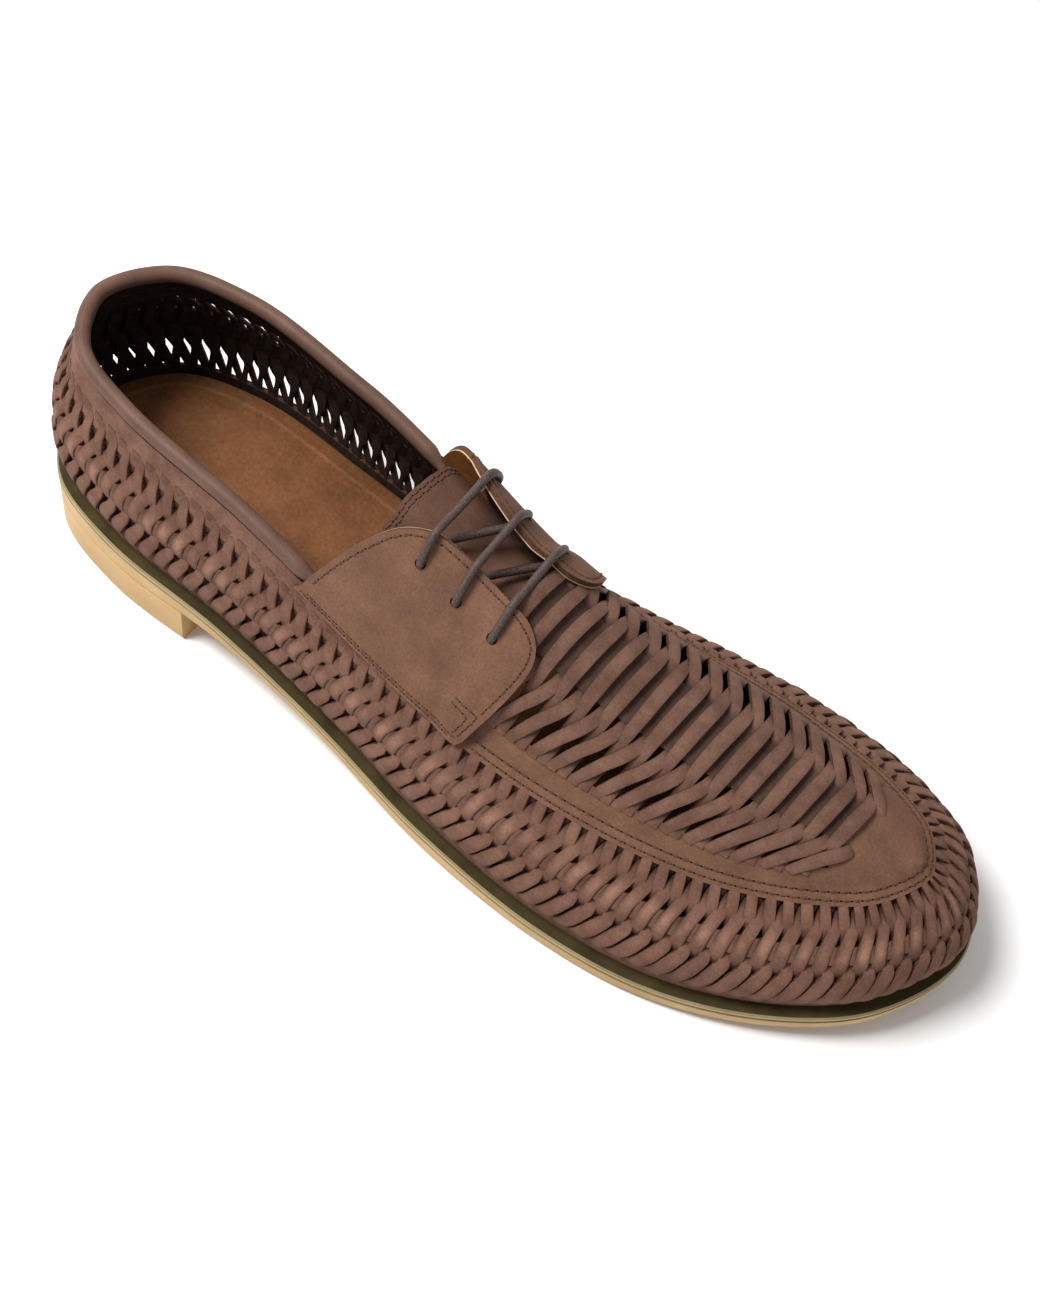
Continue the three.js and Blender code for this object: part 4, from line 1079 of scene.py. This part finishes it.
# Stitching: a stitch's thread and dents, then its lines, which on a facing are shares along and across it
THREAD = 0.26
THREAD_SIDES = 6
THREAD_RISE = np.array([-0.3, -0.02, 0.06, -0.02, -0.3])
THREAD_RADIUS = np.array([0.6, 1.0, 1.0, 1.0, 0.6]) * THREAD
DENT_LENGTH = 0.75
DENT_RISE = 0.06
DENT_HALF_WIDTH = np.array([0.4, 1.0, 0.4]) * THREAD * 0.9
DENT_FACES = [(0, 1, 4, 5), (1, 2, 3, 4)]
DENT_MATERIAL = 1
STITCH_PITCH = 2.7
TACK_PITCH = 2.2
EDGE_LINE = (
    (0.032, 0.14), (0.034, 0.4), (0.036, 0.62), (0.04, 0.78), (0.06, 0.90), (0.13, 0.945), (0.3, 0.945),
    (0.6, 0.945), (0.86, 0.94), (0.95, 0.88), (0.965, 0.75), (0.966, 0.5), (0.966, 0.27),
)
EDGE_LINE_STEPS = 14
# Each seam line: place across the facing, start along it
SEAM_LINES = ((0.034, 0.03), (0.07, 0.052))
SEAM_LINE_LENGTH = 0.92
SEAM_LINE_STEPS = 60
TACK_LINES = (
    ((0.938, 0.09), (0.938, 0.18), (0.932, 0.208), (0.91, 0.217), (0.82, 0.217)),
    ((0.966, 0.09), (0.966, 0.225), (0.96, 0.25), (0.94, 0.257), (0.82, 0.257)),
)
TACK_LINE_STEPS = 6
LAP_LINES = {"start": FACING_FRONT + 4, "steps": 320, "inset": 1.0, "lap": 0.45, "ridge": 0.3, "rise": 0.12}
TONGUE_LINES = {"insets": (1.0, 2.2), "reach": 0.97, "steps": 60}
TONGUE_SEAM = {"x": 157, "low": -0.3, "high": 0.2, "steps": 20}


def follow(line, step, d):
    """The line at distances d along it."""
    return np.stack([np.interp(d, step, line[:, k]) for k in range(3)], -1)


def add_stitches(skin, path, normal, pitch=STITCH_PITCH):
    """A row of stitches: thread of the leather's own tone, with a dark dent painted as the shade where the
    needle went in.
    """
    step = distances(path)
    count = int(step[-1] / pitch)
    length = step[-1] / count - DENT_LENGTH
    for i in range(count):
        d = (i + 0.5) * step[-1] / count + np.linspace(-0.5, 0.5, len(THREAD_RISE)) * length
        n = unit(follow(normal, step, d))
        p = follow(path, step, d) + n * THREAD_RISE[:, None]
        add_tube(skin, p, THREAD_RADIUS, THREAD_SIDES)
        d = i * step[-1] / count + np.linspace(-0.5, 0.5, len(DENT_HALF_WIDTH)) * DENT_LENGTH
        n = unit(follow(normal, step, d))
        p = follow(path, step, d)
        side = unit(np.cross(n, p[-1] - p[0])) * DENT_HALF_WIDTH[:, None]
        p = p + n * DENT_RISE
        skin.add(np.vstack([p - side, (p + side)[::-1]]), DENT_FACES, DENT_MATERIAL)


def facing_path(sign, corners, steps):
    """A line drawn on a facing through corners given as shares along and across it, rounded."""
    p = open_spline([(a, w, 0) for a, w in corners], steps)
    return facing_place(sign, p[:, 0], p[:, 1], FACING_THICKNESS)


def add_facing_stitches(skin, sign):
    add_stitches(skin, *facing_path(sign, EDGE_LINE, EDGE_LINE_STEPS))
    for w, start in SEAM_LINES:
        a = np.linspace(start, start + SEAM_LINE_LENGTH, SEAM_LINE_STEPS)
        add_stitches(skin, *facing_place(sign, a, w, FACING_THICKNESS))
    for corners in TACK_LINES:
        add_stitches(skin, *facing_path(sign, corners, TACK_LINE_STEPS), pitch=TACK_PITCH)


def add_lap_stitches(skin):
    """Two rows on the vamp's border, one on its lap and one just inside its ridge."""
    start = seam_t(LAP_LINES["start"], OUTER)
    t = np.linspace(start, 1 + seam_t(LAP_LINES["start"], INNER), LAP_LINES["steps"])
    lap, _, ridge, inside = border_grid(t, [LAP_LINES["inset"]]).transpose(1, 0, 2)
    for low, high, share in ((lap, ridge, LAP_LINES["lap"]), (ridge, inside, LAP_LINES["ridge"])):
        normal = unit(np.cross(np.gradient(low, axis=0), high - low))
        add_stitches(skin, low + (high - low) * share + normal * LAP_LINES["rise"], normal)


def add_tongue_stitches(skin):
    s = np.linspace(-TONGUE_LINES["reach"], TONGUE_LINES["reach"], TONGUE_LINES["steps"]) * TONGUE_HALF
    for inset in TONGUE_LINES["insets"]:
        add_stitches(skin, *tongue_line(tongue_back(s) + inset, s))
    s = np.linspace(TONGUE_SEAM["low"], TONGUE_SEAM["high"], TONGUE_SEAM["steps"])
    add_stitches(skin, *tongue_line(TONGUE_SEAM["x"], s))


def build_stitching():
    skin = Skin()
    for sign in (OUTER, INNER):
        add_facing_stitches(skin, sign)
    add_lap_stitches(skin)
    add_tongue_stitches(skin)
    skin.piece("stitching", [thread, hole_shade], sharp=ROUND_EDGE)


for name, table, shine in SIDE_SETS:
    build_side_strips(name, table, shine)
build_side_band()
build_side_borders()
build_vamp_weave()
build_vamp_band()
build_vamp_border()
build_facing(OUTER, "lateral_panel", "facing_lateral")
build_facing(INNER, "medial_panel", "facing_medial")
build_tongue()
build_lace()
build_collar()
build_heel()
build_sole()
build_insole()
build_stitching()

# Floor and light
FLOOR_SIZE = 8
SKY_STRENGTH = 0.45
LIGHT_AIM = (0, 0, 0.04)

bpy.ops.mesh.primitive_plane_add(size=FLOOR_SIZE)
floor = bpy.context.object
floor.name = "floor"
pale_floor = surface("pale_floor", (246, 246, 246), (244, 244, 244), bump=0.0, rough=0.9, fleck=1.0)
floor.data.materials.append(pale_floor)

world = bpy.data.worlds.new("studio")
bpy.context.scene.world = world
world.use_nodes = True
world.node_tree.nodes["Background"].inputs["Color"].default_value = WHITE
world.node_tree.nodes["Background"].inputs["Strength"].default_value = SKY_STRENGTH


def softbox(name, at, size, power):
    light = bpy.data.lights.new(name, "AREA")
    light.shape = "DISK"
    light.size = size
    light.energy = power
    obj = bpy.data.objects.new(name, light)
    obj.location = at
    obj.rotation_euler = (Vector(LIGHT_AIM) - Vector(at)).to_track_quat("-Z", "Y").to_euler()
    bpy.context.scene.collection.objects.link(obj)


softbox("key", at=(-0.5, -0.35, 1.1), size=0.5, power=17)
softbox("side", at=(-0.9, 0.5, 0.9), size=0.8, power=3)

# Camera: the photo's direction and roll, framed on the whole shoe
EYE = (266.9, -246.9, 431.2)
AIM = (153.1, 1.6, 30.3)
ROLL = 12.1
LENS_PIXELS = 1760
FRAME_HEIGHT = 1300
SENSOR_HEIGHT = 36
eye = Vector(((np.array(EYE) + SHIFT) * MM).tolist())
back = (eye - Vector(((np.array(AIM) + SHIFT) * MM).tolist())).normalized()
level_right = Vector(UP).cross(back).normalized()
level_up = back.cross(level_right)
roll = math.radians(ROLL)
right = level_right * math.cos(roll) + level_up * math.sin(roll)
up = level_up * math.cos(roll) - level_right * math.sin(roll)
camera_data = bpy.data.cameras.new("camera")
camera_data.sensor_fit = "VERTICAL"
camera_data.sensor_height = SENSOR_HEIGHT
camera_data.lens = SENSOR_HEIGHT * LENS_PIXELS / FRAME_HEIGHT
camera = bpy.data.objects.new("camera", camera_data)
camera.matrix_world = Matrix.Translation(eye) @ Matrix((right, up, back)).transposed().to_4x4()
bpy.context.scene.collection.objects.link(camera)
bpy.context.scene.camera = camera
bpy.context.scene.view_settings.view_transform = "Standard"
